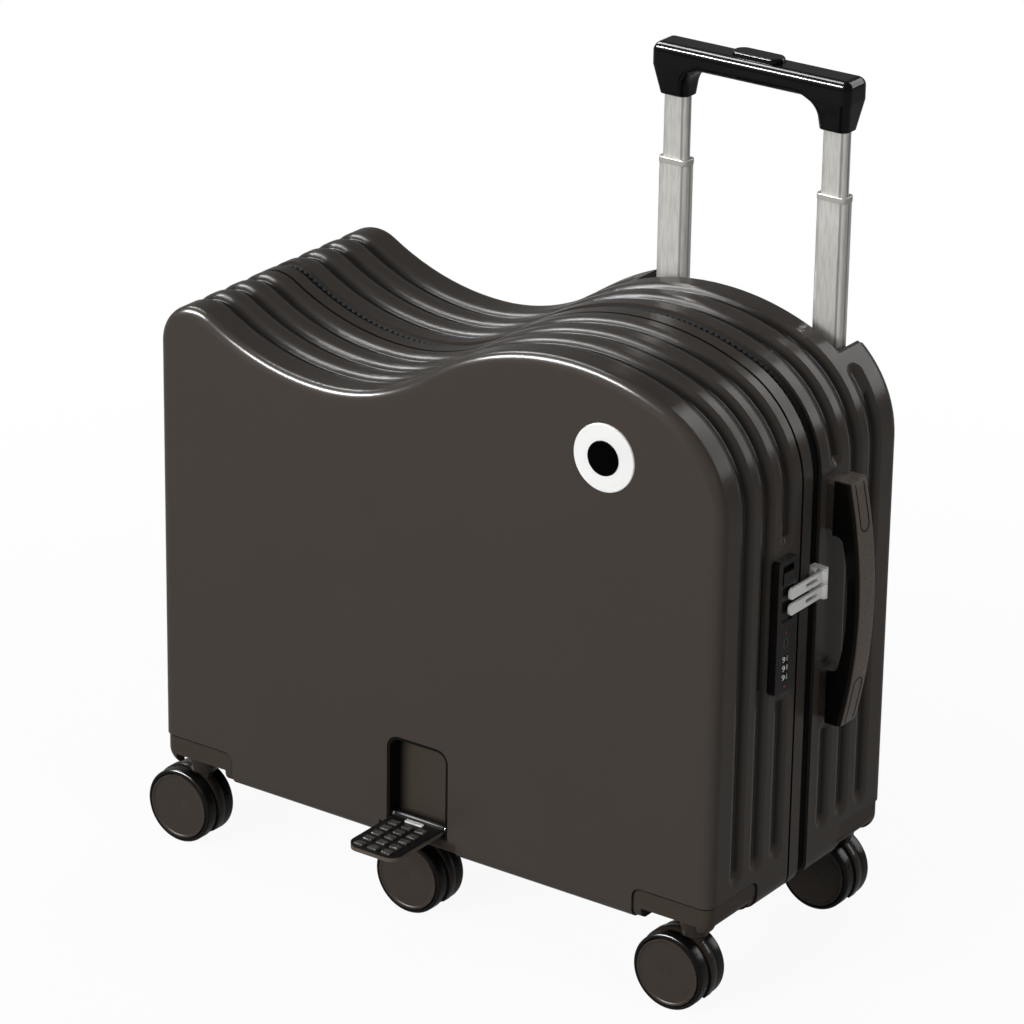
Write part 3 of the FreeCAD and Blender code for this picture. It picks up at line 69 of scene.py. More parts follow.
def from_screen(red: int, green: int, blue: int) -> Colour:
    """Linear colour of a screen colour given in 0 to 255.

    Args:
        red, green, blue: screen levels.

    Returns:
        The same colour as linear light.
    """
    def linear(level: int) -> float:
        """One channel as linear light."""
        share = level / 255
        return share / 12.92 if share <= 0.04045 else ((share + 0.055) / 1.055) ** 2.4

    return linear(red), linear(green), linear(blue)


def tone(colour: Colour, factor: float) -> Colour:
    """A colour made darker or lighter."""
    return tuple(level * factor for level in colour)


def only(results: Sequence, kind: type) -> list:
    """The items of one kind among an operator's results."""
    return [item for item in results if isinstance(item, kind)]


def stood(x: Vector, y: Vector, z: Vector) -> Matrix:
    """Turn that stands a shape on three axes."""
    return Matrix((x, y, z)).transposed().to_4x4()


class Axis(Enum):
    """Axis that a brushed finish runs along, or that a second colour changes along."""

    X = 0
    Y = 1
    Z = 2


class Wire:
    """A shader socket that can be used in Python sums."""

    def __init__(self, board: "Board", socket: bpy.types.NodeSocket) -> None:
        """Keep the socket and the node tree it is in."""
        self.board = board
        self.socket = socket

    def _sum(self, operation: str, first: Number, second: Number) -> "Wire":
        """Add one Math node for a sum of two values."""
        return self.board.add("ShaderNodeMath", {"operation": operation}, {0: first, 1: second})

    def __add__(self, other: Number) -> "Wire":
        """Sum."""
        return self._sum("ADD", self, other)

    __radd__ = __add__

    def __sub__(self, other: Number) -> "Wire":
        """Difference."""
        return self._sum("SUBTRACT", self, other)

    def __rsub__(self, other: Number) -> "Wire":
        """Difference from a number."""
        return self._sum("SUBTRACT", other, self)

    def __mul__(self, other: Number) -> "Wire":
        """Product."""
        return self._sum("MULTIPLY", self, other)

    __rmul__ = __mul__

    def __pow__(self, other: Number) -> "Wire":
        """Power."""
        return self._sum("POWER", self, other)

    def above(self, edge: Number) -> "Wire":
        """One where the value is above an edge, else nought."""
        return self._sum("GREATER_THAN", self, edge)

    def most(self, other: Number) -> "Wire":
        """The larger of two values."""
        return self._sum("MAXIMUM", self, other)

    def size(self) -> "Wire":
        """The value without its sign."""
        return self._sum("ABSOLUTE", self, 0.0)

    def fold(self, reach: float) -> "Wire":
        """Distance from the nearest whole multiple of twice the reach."""
        return self._sum("PINGPONG", self, reach)


class Board:
    """Node tree of one material or of the world."""

    def __init__(self, tree: bpy.types.NodeTree) -> None:
        """Empty the tree."""
        self.tree = tree
        tree.nodes.clear()

    def add(self, kind: str, settings: Optional[dict] = None, inputs: Optional[dict] = None,
            output: Union[int, str] = 0) -> Wire:
        """Add a node of any type.

        Args:
            kind: the node's type name.
            settings: properties to set first.
            inputs: values or wires for its sockets, by name or number.
            output: the socket that the result stands for.

        Returns:
            The wire of that output.
        """
        node = self.tree.nodes.new(kind)
        for name, value in (settings or {}).items():
            setattr(node, name, value)
        for name, value in (inputs or {}).items():
            if isinstance(value, Wire):
                self.tree.links.new(value.socket, node.inputs[name])
            else:
                node.inputs[name].default_value = value
        if not node.outputs:
            return Wire(self, None)
        return Wire(self, node.outputs[output])

    def place(self, scale: Sequence[float] = (1, 1, 1), turn: Sequence[float] = (0, 0, 0)) -> Wire:
        """Object coordinates, scaled and turned.

        Args:
            scale: factor along each axis.
            turn: rotation about each axis in radians.

        Returns:
            The wire of the vector.
        """
        coordinates = self.add("ShaderNodeTexCoord", output="Object")
        return self.add("ShaderNodeMapping", {}, {"Vector": coordinates, "Scale": scale, "Rotation": turn})

    def axes(self) -> tuple[Wire, ...]:
        """Object coordinates as three values."""
        split = self.add("ShaderNodeSeparateXYZ", {}, {0: self.place()})
        return tuple(Wire(self, output) for output in split.socket.node.outputs)

    def ramp(self, value: Wire, low: float, high: float) -> Wire:
        """Smooth step from nought at low to one at high."""
        return self.add("ShaderNodeMapRange", {"interpolation_type": "SMOOTHSTEP"}, {
            "Value": value, "From Min": low, "From Max": high})

    def noise(self, scale: float, detail: float = 2.0, where: Optional[Wire] = None) -> Wire:
        """Noise value at a scale per metre."""
        return self.add("ShaderNodeTexNoise", {}, {
            "Vector": where or self.place(), "Scale": scale, "Detail": detail, "Roughness": 0.55})

    def blend(self, share: Number, first: Union[Wire, Colour], second: Union[Wire, Colour]) -> Wire:
        """Mix of two colours."""
        def four(colour: Union[Wire, Colour]) -> Union[Wire, tuple]:
            """A plain colour with its fourth value."""
            return colour if isinstance(colour, Wire) else (*colour, 1.0)

        return self.add("ShaderNodeMix", {"data_type": "RGBA"}, {0: share, 6: four(first), 7: four(second)}, output=2)

    def bump(self, height: Wire, depth: float) -> Wire:
        """Normal bent by a height given as a share of depth in metres."""
        return self.add("ShaderNodeBump", {}, {"Strength": 1.0, "Distance": depth, "Height": height})

    def surface(self, **sockets: Union[Wire, float, tuple]) -> None:
        """End the tree in one principled surface."""
        shader = self.add("ShaderNodeBsdfPrincipled", {}, {k.replace("_", " "): v for k, v in sockets.items()})
        self.add("ShaderNodeOutputMaterial", {}, {"Surface": shader})


class Finish:
    """A procedural material made once and shared."""

    made: ClassVar[dict[str, bpy.types.Material]] = {}

    def material(self) -> bpy.types.Material:
        """The finish as a material, made the first time it is asked for."""
        if self.name not in Finish.made:
            material = bpy.data.materials.new(self.name)
            material.use_nodes = True
            self.wire(Board(material.node_tree))
            Finish.made[self.name] = material
        return Finish.made[self.name]

    def wire(self, board: Board) -> None:
        """Fill the material's node tree."""
        raise NotImplementedError

    def shade(self, board: Board, tint: Wire) -> Wire:
        """Colour with the finish's own dark lines and second tones; plain unless a finish has some."""
        return tint


@dataclass(frozen=True)
class MouldedPlastic(Finish):
    """Moulded plastic with a fine spark-eroded grain, faint mottling and handling marks."""

    name: str
    colour: Colour
    roughness: float
    grain_scale: float = 1500.0
    grain_depth: float = 0.00004
    mottle: float = 0.10
    smudge: float = 0.06
    shine: float = 0.25
    cloud_scale: ClassVar[float] = 9.0
    smear_scale: ClassVar[float] = 42.0
    smear_stretch: ClassVar[tuple[float, float, float]] = (1.0, 0.5, 1.6)
    speck_coarseness: ClassVar[float] = 0.45
    speck_share: ClassVar[float] = 0.25
    speck_rough: ClassVar[float] = 0.05

    def wire(self, board: Board) -> None:
        """Fill the material's node tree."""
        grain = board.noise(self.grain_scale, 3.0)
        cloud = board.noise(self.cloud_scale, 3.0)
        smear = board.noise(self.smear_scale, 4.0, board.place(self.smear_stretch))
        speck = board.noise(self.grain_scale * self.speck_coarseness, 1.0)
        tint = board.blend(cloud * (1 - self.speck_share) + speck * self.speck_share,
                           tone(self.colour, 1 - self.mottle), tone(self.colour, 1 + self.mottle))
        rough = self.roughness + (smear - 0.5) * (2 * self.smudge) + (speck - 0.5) * self.speck_rough
        board.surface(Base_Color=self.shade(board, tint), Roughness=rough, Specular_IOR_Level=self.shine,
                      Normal=board.bump(grain, self.grain_depth))


@dataclass(frozen=True)
class RibbedPlastic(MouldedPlastic):
    """Case plastic with painted shade in the valleys between the ribs and in the seam line."""

    # painted shade: how far the valleys and the seam line are darkened towards a near black
    painted_shade: float = 0.85
    painted_shade_colour: Colour = (0.004, 0.0035, 0.003)
    first_valley: float = 0.0302
    last_valley: float = 0.0806
    pitch: float = 0.0252
    core: float = 0.0010
    spread: float = 0.0066
    low: float = 0.103
    fade_below: float = 0.003
    fade_above: float = 0.004
    head_x: float = 0.2
    lock_gap: tuple[float, float] = (0.215, 0.338)
    handle_gap: tuple[float, float] = (0.1715, 0.377)
    tray: tuple[float, float] = (0.030, 0.228)
    seam: tuple[float, float] = (-0.0136, -0.0112)

    def shade(self, board: Board, tint: Wire) -> Wire:
        """Colour with painted shade in the valleys and the seam line, left out where a valley stops for the lock, the
        handle or the tray.
        """
        x, y, z = board.axes()
        out, back, half = y.size(), y.above(0.0), self.pitch / 2
        near = (out - self.first_valley).fold(half)
        ribbed = out.above(self.first_valley - half) * (1 - out.above(self.last_valley + half))
        risen = board.ramp(z, self.low - self.fade_below, self.low + self.fade_above)
        valley = (1 - board.ramp(near, self.core, self.spread)) * ribbed * risen
        foot = self.lock_gap[0] + back * (self.handle_gap[0] - self.lock_gap[0])
        top = self.lock_gap[1] + back * (self.handle_gap[1] - self.lock_gap[1])
        stopped = x.above(self.head_x) * z.above(foot) * (1 - z.above(top)) * (1 - out.above(self.first_valley + half))
        tray = back * out.above(self.last_valley - half) * x.above(self.tray[0]) * (1 - x.above(self.tray[1]))
        line = y.above(self.seam[0]) * (1 - y.above(self.seam[1]))
        # painted shade in the rib valleys and along the seam line
        dark = (valley * (1 - stopped) * (1 - tray)).most(line)
        return board.blend(dark * self.painted_shade, tint, self.painted_shade_colour)


@dataclass(frozen=True)
class SeatPlastic(MouldedPlastic):
    """Plastic of a caster's seat, with a painted shade line in the seam round its outline."""

    middle_x: float = 0.0
    outwards: float = 1.0
    inner_x: float = 0.176
    inner_y: float = 0.052
    top: float = 0.087
    corner: float = 0.007
    line: tuple[float, float] = (0.0007, 0.0015)
    painted_line_strength: float = 0.9
    shade_line_colour: Colour = (0.002, 0.002, 0.002)

    def shade(self, board: Board, tint: Wire) -> Wire:
        """Colour with the painted shade line along the seat's rounded outline."""
        x, y, z = board.axes()
        sides = ((x - self.middle_x).size() * self.outwards - self.inner_x * self.outwards,
                 y.size() - self.inner_y, self.top - z)
        deep = sum(((self.corner - side).most(0.0) ** 2.0 for side in sides), 0.0)
        inside = self.corner - deep ** 0.5
        # painted shade along the seam with the case
        return board.blend((1 - board.ramp(inside, *self.line)) * self.painted_line_strength, tint, self.shade_line_colour)


@dataclass(frozen=True)
class SecondToneAndPaintedLightPlastic(MouldedPlastic):
    """Plastic with a second colour past a plane: a real second tone on the carry handle, painted light on the
    footrest's rim and painted shade on the footrest wells' walls.
    """

    axis: Axis = Axis.Y
    turn: tuple[float, float] = (0.0, 1.0)
    second: Colour = (0.0, 0.0, 0.0)
    both_sides: bool = False

    def shade(self, board: Board, tint: Wire) -> Wire:
        """Colour with the second colour below the plane, or outside it on both sides."""
        value = board.axes()[self.axis.value]
        share = board.ramp(value.size(), *self.turn) if self.both_sides else 1 - board.ramp(value, *self.turn)
        # the second colour is a real tone on the handle, painted light on the footrest and painted shade in the wells
        return board.blend(share, tint, self.second)


@dataclass(frozen=True)
class GlossPlastic(Finish):
    """Polished plastic with a slight orange peel and fine hairline scratches."""

    name: str
    colour: Colour
    roughness: float = 0.14
    shine: float = 0.3
    peel_depth: ClassVar[float] = 0.00003
    peel_scale: ClassVar[float] = 160.0
    cloud_scale: ClassVar[float] = 14.0
    cloud_share: ClassVar[float] = 0.1
    cloud_rough: ClassVar[float] = 0.05
    hair_scale: ClassVar[float] = 90.0
    hair_stretch: ClassVar[tuple[float, float, float]] = (1.0, 14.0, 14.0)
    hair_turn: ClassVar[tuple[float, float, float]] = (0.2, 0.1, 0.5)
    hair_rough: ClassVar[float] = 0.10

    def wire(self, board: Board) -> None:
        """Fill the material's node tree."""
        peel = board.noise(self.peel_scale, 2.0)
        cloud = board.noise(self.cloud_scale, 2.0)
        hairs = board.noise(self.hair_scale, 3.0, board.place(self.hair_stretch, self.hair_turn))
        tint = board.blend(cloud, tone(self.colour, 1 - self.cloud_share), tone(self.colour, 1 + self.cloud_share))
        rough = self.roughness + (hairs - 0.5) * self.hair_rough + (cloud - 0.5) * self.cloud_rough
        board.surface(Base_Color=self.shade(board, tint), Roughness=rough, Specular_IOR_Level=self.shine,
                      Normal=board.bump(peel, self.peel_depth))


@dataclass(frozen=True)
class PadPlastic(GlossPlastic):
    """Plastic of the footrest's studs, with a painted highlight on the bar at the heel."""

    heel_y: float = 0.1195
    heel: Colour = (0.82, 0.82, 0.80)

    def shade(self, board: Board, tint: Wire) -> Wire:
        """Colour with a painted highlight on the heel bar."""
        return board.blend(1 - board.axes()[1].size().above(self.heel_y), tint, self.heel)


@dataclass(frozen=True)
class BrushedMetal(Finish):
    """Satin metal with drawn lines along one axis."""

    name: str
    colour: Colour
    roughness: float
    along: Axis = Axis.Z
    metallic: float = 1.0
    depth: ClassVar[float] = 0.000012
    draw_scale: ClassVar[float] = 2600.0
    draw_stretch: ClassVar[float] = 0.012
    draw_share: ClassVar[float] = 0.7
    draw_rough: ClassVar[float] = 0.10
    draw_tone: ClassVar[float] = 0.9
    cloud_scale: ClassVar[float] = 18.0
    cloud_rough: ClassVar[float] = 0.05

    def wire(self, board: Board) -> None:
        """Fill the material's node tree."""
        scale = [1.0, 1.0, 1.0]
        scale[self.along.value] = self.draw_stretch
        lines = board.noise(self.draw_scale, 2.0, board.place(tuple(scale)))
        cloud = board.noise(self.cloud_scale, 3.0)
        tint = board.blend(lines * self.draw_share + cloud * (1 - self.draw_share),
                           tone(self.colour, self.draw_tone), self.colour)
        rough = self.roughness + (lines - 0.5) * self.draw_rough + (cloud - 0.5) * self.cloud_rough
        board.surface(Base_Color=self.shade(board, tint), Metallic=self.metallic, Roughness=rough,
                      Normal=board.bump(lines, self.depth))


@dataclass(frozen=True)
class TubeMetal(BrushedMetal):
    """Satin tube with a coarser grain, painted shade towards its left edge and painted dark reflections as lines along
    its corners.
    """

    half_width: float = 0.0098
    middle_x: float = 0.1252
    middle_y: float = 0.095
    spacing: float = 0.1304
    inset: float = 0.0030
    line: tuple[float, float] = (0.0004, 0.0013)
    far_line: tuple[float, float] = (0.0005, 0.0015)
    painted_line_strength: float = 0.8
    soft: float = 0.0055
    edge_shade_strength: float = 0.4
    grain_scale: float = 520.0
    grain_stretch: float = 0.12
    grain_range: tuple[float, float] = (0.35, 0.75)
    grain_strength: float = 0.3
    dark_tone: float = 0.3

    def shade(self, board: Board, tint: Wire) -> Wire:
        """Colour with grain, painted shade towards the left edge with a painted shade line on it, and painted dark
        reflection lines beside the corners and on the narrow side.
        """
        x, y, _ = board.axes()
        across = x - (self.middle_x - self.spacing / 2) - x.above(self.middle_x) * self.spacing
        front = 1 - board.ramp((across - (self.half_width - self.inset)).size(), *self.line)
        side = 1 - board.ramp((y - self.middle_y).size(), *self.line)
        far = 1 - board.ramp(across + self.half_width, *self.far_line)
        edge = 1 - board.ramp(across + self.half_width, 0.0, self.soft)
        streaks = board.noise(self.grain_scale, 3.0, board.place((1.0, 1.0, self.grain_stretch)))
        grain = board.ramp(streaks, *self.grain_range)
        dark = tone(self.colour, self.dark_tone)
        # real grain mixed with painted shade towards the left edge
        marked = board.blend(edge * self.edge_shade_strength + grain * self.grain_strength, tint, dark)
        # painted dark reflection lines beside the corners and on the narrow side, and a painted shade line at the left
        # edge
        return board.blend(front.most(side).most(far) * self.painted_line_strength, marked, dark)


@dataclass(frozen=True)
class WovenTape(Finish):
    """Plain weave of a narrow tape."""

    name: str
    colour: Colour
    roughness: float = 0.82
    shine: float = 0.1
    thread_scale: ClassVar[float] = 143.2437
    waviness: ClassVar[float] = 0.4
    over_share: ClassVar[float] = 0.7
    fuzz_scale: ClassVar[float] = 2400.0
    fuzz_share: ClassVar[float] = 0.3
    fuzz_rough: ClassVar[float] = 0.2
    gap_tone: ClassVar[float] = 0.55
    thread_tone: ClassVar[float] = 1.5
    depth: ClassVar[float] = 0.00012

    def threads(self, board: Board, direction: str, where: Wire) -> Wire:
        """One set of threads that run side by side.

        Args:
            board: the material's node tree.
            direction: the wave node's name for the way across them.
            where: the place that they are drawn at.

        Returns:
            Their height, from nought between two threads to one on top of one.
        """
        return board.add("ShaderNodeTexWave", {
            "wave_type": "BANDS", "wave_profile": "SIN", "bands_direction": direction}, {
            "Vector": where, "Scale": self.thread_scale, "Distortion": self.waviness, "Detail": 1.0})

    def wire(self, board: Board) -> None:
        """Fill the material's node tree."""
        warp = self.threads(board, "Y", board.place())
        weft = self.threads(board, "DIAGONAL", board.place((1, 0, 1)))
        weave = warp.most(weft) * self.over_share + warp * weft * (1 - self.over_share)
        fuzz = board.noise(self.fuzz_scale, 2.0)
        tint = board.blend(weave * (1 - self.fuzz_share) + fuzz * self.fuzz_share,
                           tone(self.colour, self.gap_tone), tone(self.colour, self.thread_tone))
        board.surface(Base_Color=tint, Roughness=self.roughness + (fuzz - 0.5) * self.fuzz_rough,
                      Specular_IOR_Level=self.shine, Normal=board.bump(weave, self.depth))


@dataclass(frozen=True)
class TreadRubber(Finish):
    """Moulded rubber or urethane with dust in its pores."""

    name: str
    colour: Colour
    roughness: float = 0.42
    dust: float = 0.25
    shine: float = 0.3
    pore_scale: ClassVar[float] = 1100.0
    pore_depth: ClassVar[float] = 0.00003
    pore_rough: ClassVar[float] = 0.12
    scuff_scale: ClassVar[float] = 70.0
    scuff_from: ClassVar[float] = 0.52
    scuff_gain: ClassVar[float] = 4.0
    scuff_rough: ClassVar[float] = 0.5
    dust_tone: ClassVar[float] = 2.2
    dust_light: ClassVar[float] = 0.01

    def wire(self, board: Board) -> None:
        """Fill the material's node tree."""
        pores = board.noise(self.pore_scale, 3.0)
        scuff = board.noise(self.scuff_scale, 5.0)
        marked = (scuff - self.scuff_from).most(0.0) * (self.scuff_gain * self.dust)
        dusty = tuple(level + self.dust_light for level in tone(self.colour, self.dust_tone))
        tint = board.blend(marked, self.colour, dusty)
        rough = self.roughness + marked * self.scuff_rough + (pores - 0.5) * self.pore_rough
        board.surface(Base_Color=tint, Roughness=rough, Specular_IOR_Level=self.shine,
                      Normal=board.bump(pores, self.pore_depth))


FINE_GRAIN = {"grain_scale": 1300.0, "grain_depth": 0.000015, "mottle": 0.06, "smudge": 0.04}
# the case shell's rib valleys and seam line carry painted shade
CASE_SHELL = RibbedPlastic("case_shell_satin", from_screen(66, 60, 55), 0.24, grain_scale=1300.0, grain_depth=0.000008,
                           mottle=0.06, smudge=0.04, shine=0.14)
HOUSING = MouldedPlastic("caster_housing_satin", from_screen(62, 55, 49), 0.30, **FINE_GRAIN, shine=0.12)
# the seats carry a painted shade line round their outlines
CORNER_SEAT = SeatPlastic("corner_seat_satin", HOUSING.colour, 0.30, **FINE_GRAIN, shine=0.12)
CENTRE_SEAT = SeatPlastic("centre_seat_satin", HOUSING.colour, 0.30, **FINE_GRAIN, shine=0.12,
                          middle_x=-0.0085, outwards=-1.0, inner_x=0.033, inner_y=0.060, top=1.0)
LOCK_BLACK = MouldedPlastic("lock_black", from_screen(26, 23, 22), 0.28, shine=0.15)
HANDLE_DARK = SecondToneAndPaintedLightPlastic("handle_dark", from_screen(106, 97, 89), 0.28, 1100.0, 0.00003, shine=0.10,
                             axis=Axis.Y, turn=(0.0184, 0.0200), second=from_screen(13, 11, 10))
# footrest: the rim below its top face is painted lighter brown, painted light on the edge
STEP_BLACK = SecondToneAndPaintedLightPlastic("footrest_black", from_screen(14, 12, 11), 0.36, shine=0.08,
                            axis=Axis.Z, turn=(0.0796, 0.0810), second=from_screen(92, 84, 77))
TRAY_DARK = MouldedPlastic("handle_tray_dark", from_screen(42, 37, 33), 0.40, shine=0.1)
# footrest well: its side walls are painted near black as painted shade, its back face keeps the case colour
WELL_SATIN = SecondToneAndPaintedLightPlastic("well_satin", from_screen(68, 61, 55), 0.40, shine=0.1,
                            axis=Axis.Y, turn=(0.0985, 0.1010), second=from_screen(10, 9, 8), both_sides=True)
INNER_GREY = MouldedPlastic("inner_plain", from_screen(120, 118, 114), 0.5)
GRIP_GLOSS = GlossPlastic("grip_gloss", from_screen(11, 10, 10), 0.16, 0.16)
FORK_GLOSS = GlossPlastic("fork_gloss", from_screen(46, 40, 35), 0.20, 0.2)
EYE_WHITE = GlossPlastic("eye_white", from_screen(247, 247, 246), 0.22)
EYE_BLACK = GlossPlastic("eye_black", from_screen(2, 2, 2), 0.3, 0.02)
DIAL_BLACK = GlossPlastic("dial_black", from_screen(14, 13, 13), 0.25, 0.15)
DIGIT_WHITE = GlossPlastic("digit_white", from_screen(240, 239, 236), 0.4)
MARK_RED = GlossPlastic("mark_red", from_screen(150, 40, 30), 0.35)
TUBE_METAL = BrushedMetal("tube_satin", from_screen(184, 182, 177), 0.30, Axis.Z, 0.25)
INNER_TUBE = TubeMetal("inner_tube_satin", from_screen(214, 212, 206), 0.30, Axis.Z, 0.25)
MIDDLE_TUBE = TubeMetal("middle_tube_satin", from_screen(218, 216, 210), 0.30, Axis.Z, 0.25, half_width=0.0117)
ZIP_METAL = BrushedMetal("zip_metal", from_screen(253, 252, 248), 0.30, Axis.Y, 0.1)
KEY_DARK = BrushedMetal("key_core_dark", from_screen(64, 61, 58), 0.34, Axis.Y, 0.8)
PIN_STEEL = BrushedMetal("pin_steel", from_screen(170, 169, 167), 0.3, Axis.X)
ZIP_TAPE = WovenTape("zip_tape_weave", from_screen(9, 8, 8))
ZIP_TOOTH = MouldedPlastic("zip_tooth", from_screen(9, 8, 8), 0.55, shine=0.04)
TYRE = TreadRubber("tyre_black", from_screen(15, 14, 14), 0.26, 0.25, 0.2)
# the footrest's heel bar carries a painted highlight
PAD_GLOSS = PadPlastic("footrest_pad_gloss", from_screen(74, 72, 70), 0.20, 0.45)
HUB = MouldedPlastic("hub_satin", from_screen(60, 54, 49), 0.30, **FINE_GRAIN, shine=0.13)


@dataclass
class Piece:
    """A new mesh piece on its way into the scene."""

    name: str
    body: Optional[str]
    slot: str
    finish: Finish
    stands_for: tuple[str, ...] = ()
    smooth_angle: float = 35.0

    def place(self, mesh: bmesh.types.BMesh, tidy: bool = True) -> bpy.types.Object:
        """Turn a bmesh into a shown object that rides on its body.

        Args:
            mesh: the finished shape, in the row frame in metres.
            tidy: whether doubles are merged and normals turned outwards first.

        Returns:
            The new object.
        """
        if tidy:
            bmesh.ops.remove_doubles(mesh, verts=mesh.verts, dist=MERGE_DISTANCE)
            bmesh.ops.recalc_face_normals(mesh, faces=mesh.faces)
        for face in mesh.faces:
            face.smooth = True
        limit = math.radians(self.smooth_angle)
        for edge in mesh.edges:
            edge.smooth = len(edge.link_faces) == 2 and edge.calc_face_angle(0.0) < limit
        data = bpy.data.meshes.new(self.name)
        mesh.to_mesh(data)
        mesh.free()
        item = bpy.data.objects.new(self.name, data)
        bpy.context.scene.collection.objects.link(item)
        data.materials.append(self.finish.material())
        if self.body:
            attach(item, self.body)
        if self.stands_for:
            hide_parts(*self.stands_for)
        log.info("piece %s on %s", self.name, self.body or "two bodies")
        return item


def turned(profile: Sequence[tuple[float, float]], centre: Vector, steps: int, edge: float,
           segments: int = 3) -> bmesh.types.BMesh:
    """Ring or disc turned about a line along Y.

    Args:
        profile: closed outline as (radius, place along Y) pairs.
        centre: a point on the axis.
        steps: divisions of a full turn.
        edge: rounding of the profile's corners.
        segments: divisions of the rounding.

    Returns:
        The turned shape.
    """
    mesh = bmesh.new()
    ring = [mesh.verts.new((centre.x + radius, centre.y + across, centre.z)) for radius, across in profile]
    edges = [mesh.edges.new((a, b)) for a, b in zip(ring, ring[1:] + ring[:1])]
    bmesh.ops.spin(mesh, geom=ring + edges, cent=centre, axis=(0, 1, 0), angle=2 * math.pi, steps=steps,
                   use_merge=True)
    bmesh.ops.remove_doubles(mesh, verts=mesh.verts, dist=MERGE_DISTANCE)
    bmesh.ops.recalc_face_normals(mesh, faces=mesh.faces)
    sharp = [e for e in mesh.edges if len(e.link_faces) == 2 and e.calc_face_angle(0.0) > SHARP_ANGLE]
    bmesh.ops.bevel(mesh, geom=sharp, offset=edge, affect="EDGES", segments=segments, profile=0.5, material=-1)
    return mesh


@dataclass
class SaddleOutline:
    """Side outline of the case, in metres, as the arcs that its sizes give."""

    half_length: float = 0.240
    floor: float = 0.062
    base_radius: float = 0.014
    tail_top: float = 0.425
    tail_radius: float = 0.030
    dip_x: float = -0.095
    dip_top: float = 0.3935
    head_x: float = 0.110
    head_top: float = 0.461
    dip_radius_share: float = 0.4348
    nose_turn: float = math.radians(24.5)

    def arcs(self) -> list[tuple[Vector, float, float, bool]]:
        """Centre, radius, turned angle and hollowness of each arc over the top, from the tail.

        Returns:
            One entry an arc; a hollow arc has its centre outside the case.
        """
        tail = Vector((self.tail_radius - self.half_length, 0, self.tail_top - self.tail_radius))
        step, drop = self.dip_x - tail.x, self.tail_top - self.dip_top
        reach = (step * step + drop * drop) / (2 * drop)
        fall = math.asin(step / reach)
        run, lift = self.head_x - self.dip_x, self.head_top - self.dip_top
        climb_reach = (run * run + lift * lift) / (2 * lift)
        climb = math.asin(run / climb_reach)
        dip_radius = climb_reach * self.dip_radius_share
        head_radius = climb_reach - dip_radius
        head = Vector((self.head_x, 0, self.head_top - head_radius))
        lean = Vector((math.sin(self.nose_turn), 0, math.cos(self.nose_turn)))
        leave = head + lean * head_radius
        nose_radius = (self.half_length - leave.x) / (1 - lean.x)
        return [
            (tail, self.tail_radius, math.pi / 2 + fall, False),
            (Vector((self.dip_x, 0, self.dip_top + reach - self.tail_radius)), reach - self.tail_radius, fall, True),
            (Vector((self.dip_x, 0, self.dip_top + dip_radius)), dip_radius, climb, True),
            (head, head_radius, climb + self.nose_turn, False),
            (leave - lean * nose_radius, nose_radius, math.pi / 2 - self.nose_turn, False),
        ]

    def wire(self, mesh: bmesh.types.BMesh, inset: float, y: float, step: float) -> list[bmesh.types.BMVert]:
        """Draw the closed outline as a chain of edges.

        Args:
            mesh: where to draw it.
            inset: how far inside the case's surface.
            y: its plane.
            step: length of its edges.

        Returns:
            The chain's vertices in order, from the foot of the tail wall over the top and back along the base.
        """
        start = Vector((inset - self.half_length, y, self.floor + self.base_radius))
        chain = [mesh.verts.new(start)]

        def straight(end: Vector) -> None:
            """Go on in a straight line to a point.

            Args:
                end: the point.
            """
            first = chain[-1].co.copy()
            count = max(1, round((end - first).length / step))
            for number in range(1, count + 1):
                grown = bmesh.ops.extrude_vert_indiv(mesh, verts=[chain[-1]])["verts"][0]
                grown.co = first.lerp(end, number / count)
                chain.append(grown)

        def bend(centre: Vector, radius: float, angle: float, hollow: bool) -> None:
            """Go on along an arc of the case's outline.

            Args:
                centre: its centre.
                radius: its radius on the case's surface.
                angle: how far it turns.
                hollow: whether its centre is outside the case.
            """
            reach = radius + inset if hollow else radius - inset
            count = max(2, round(abs(angle) * reach / step))
            known = len(mesh.verts)
            bmesh.ops.spin(mesh, geom=[chain[-1]], cent=centre + Vector((0, y, 0)),
                           axis=(0, -1 if hollow else 1, 0), angle=angle, steps=count)
            mesh.verts.ensure_lookup_table()
            chain.extend(mesh.verts[known:])

        arcs = self.arcs()
        straight(Vector((start.x, y, arcs[0][0].z)))
        for centre, radius, angle, hollow in arcs:
            bend(centre, radius, angle, hollow)
        low = self.floor + self.base_radius
        straight(Vector((self.half_length - inset, y, low)))
        bend(Vector((self.half_length - self.base_radius, 0, low)), self.base_radius, math.pi / 2, False)
        straight(Vector((self.base_radius - self.half_length, y, self.floor + inset)))
        bend(Vector((self.base_radius - self.half_length, 0, low)), self.base_radius, math.pi / 2, False)
        last, first = chain.pop(), chain[0]
        bmesh.ops.weld_verts(mesh, targetmap={last: first})
        return chain


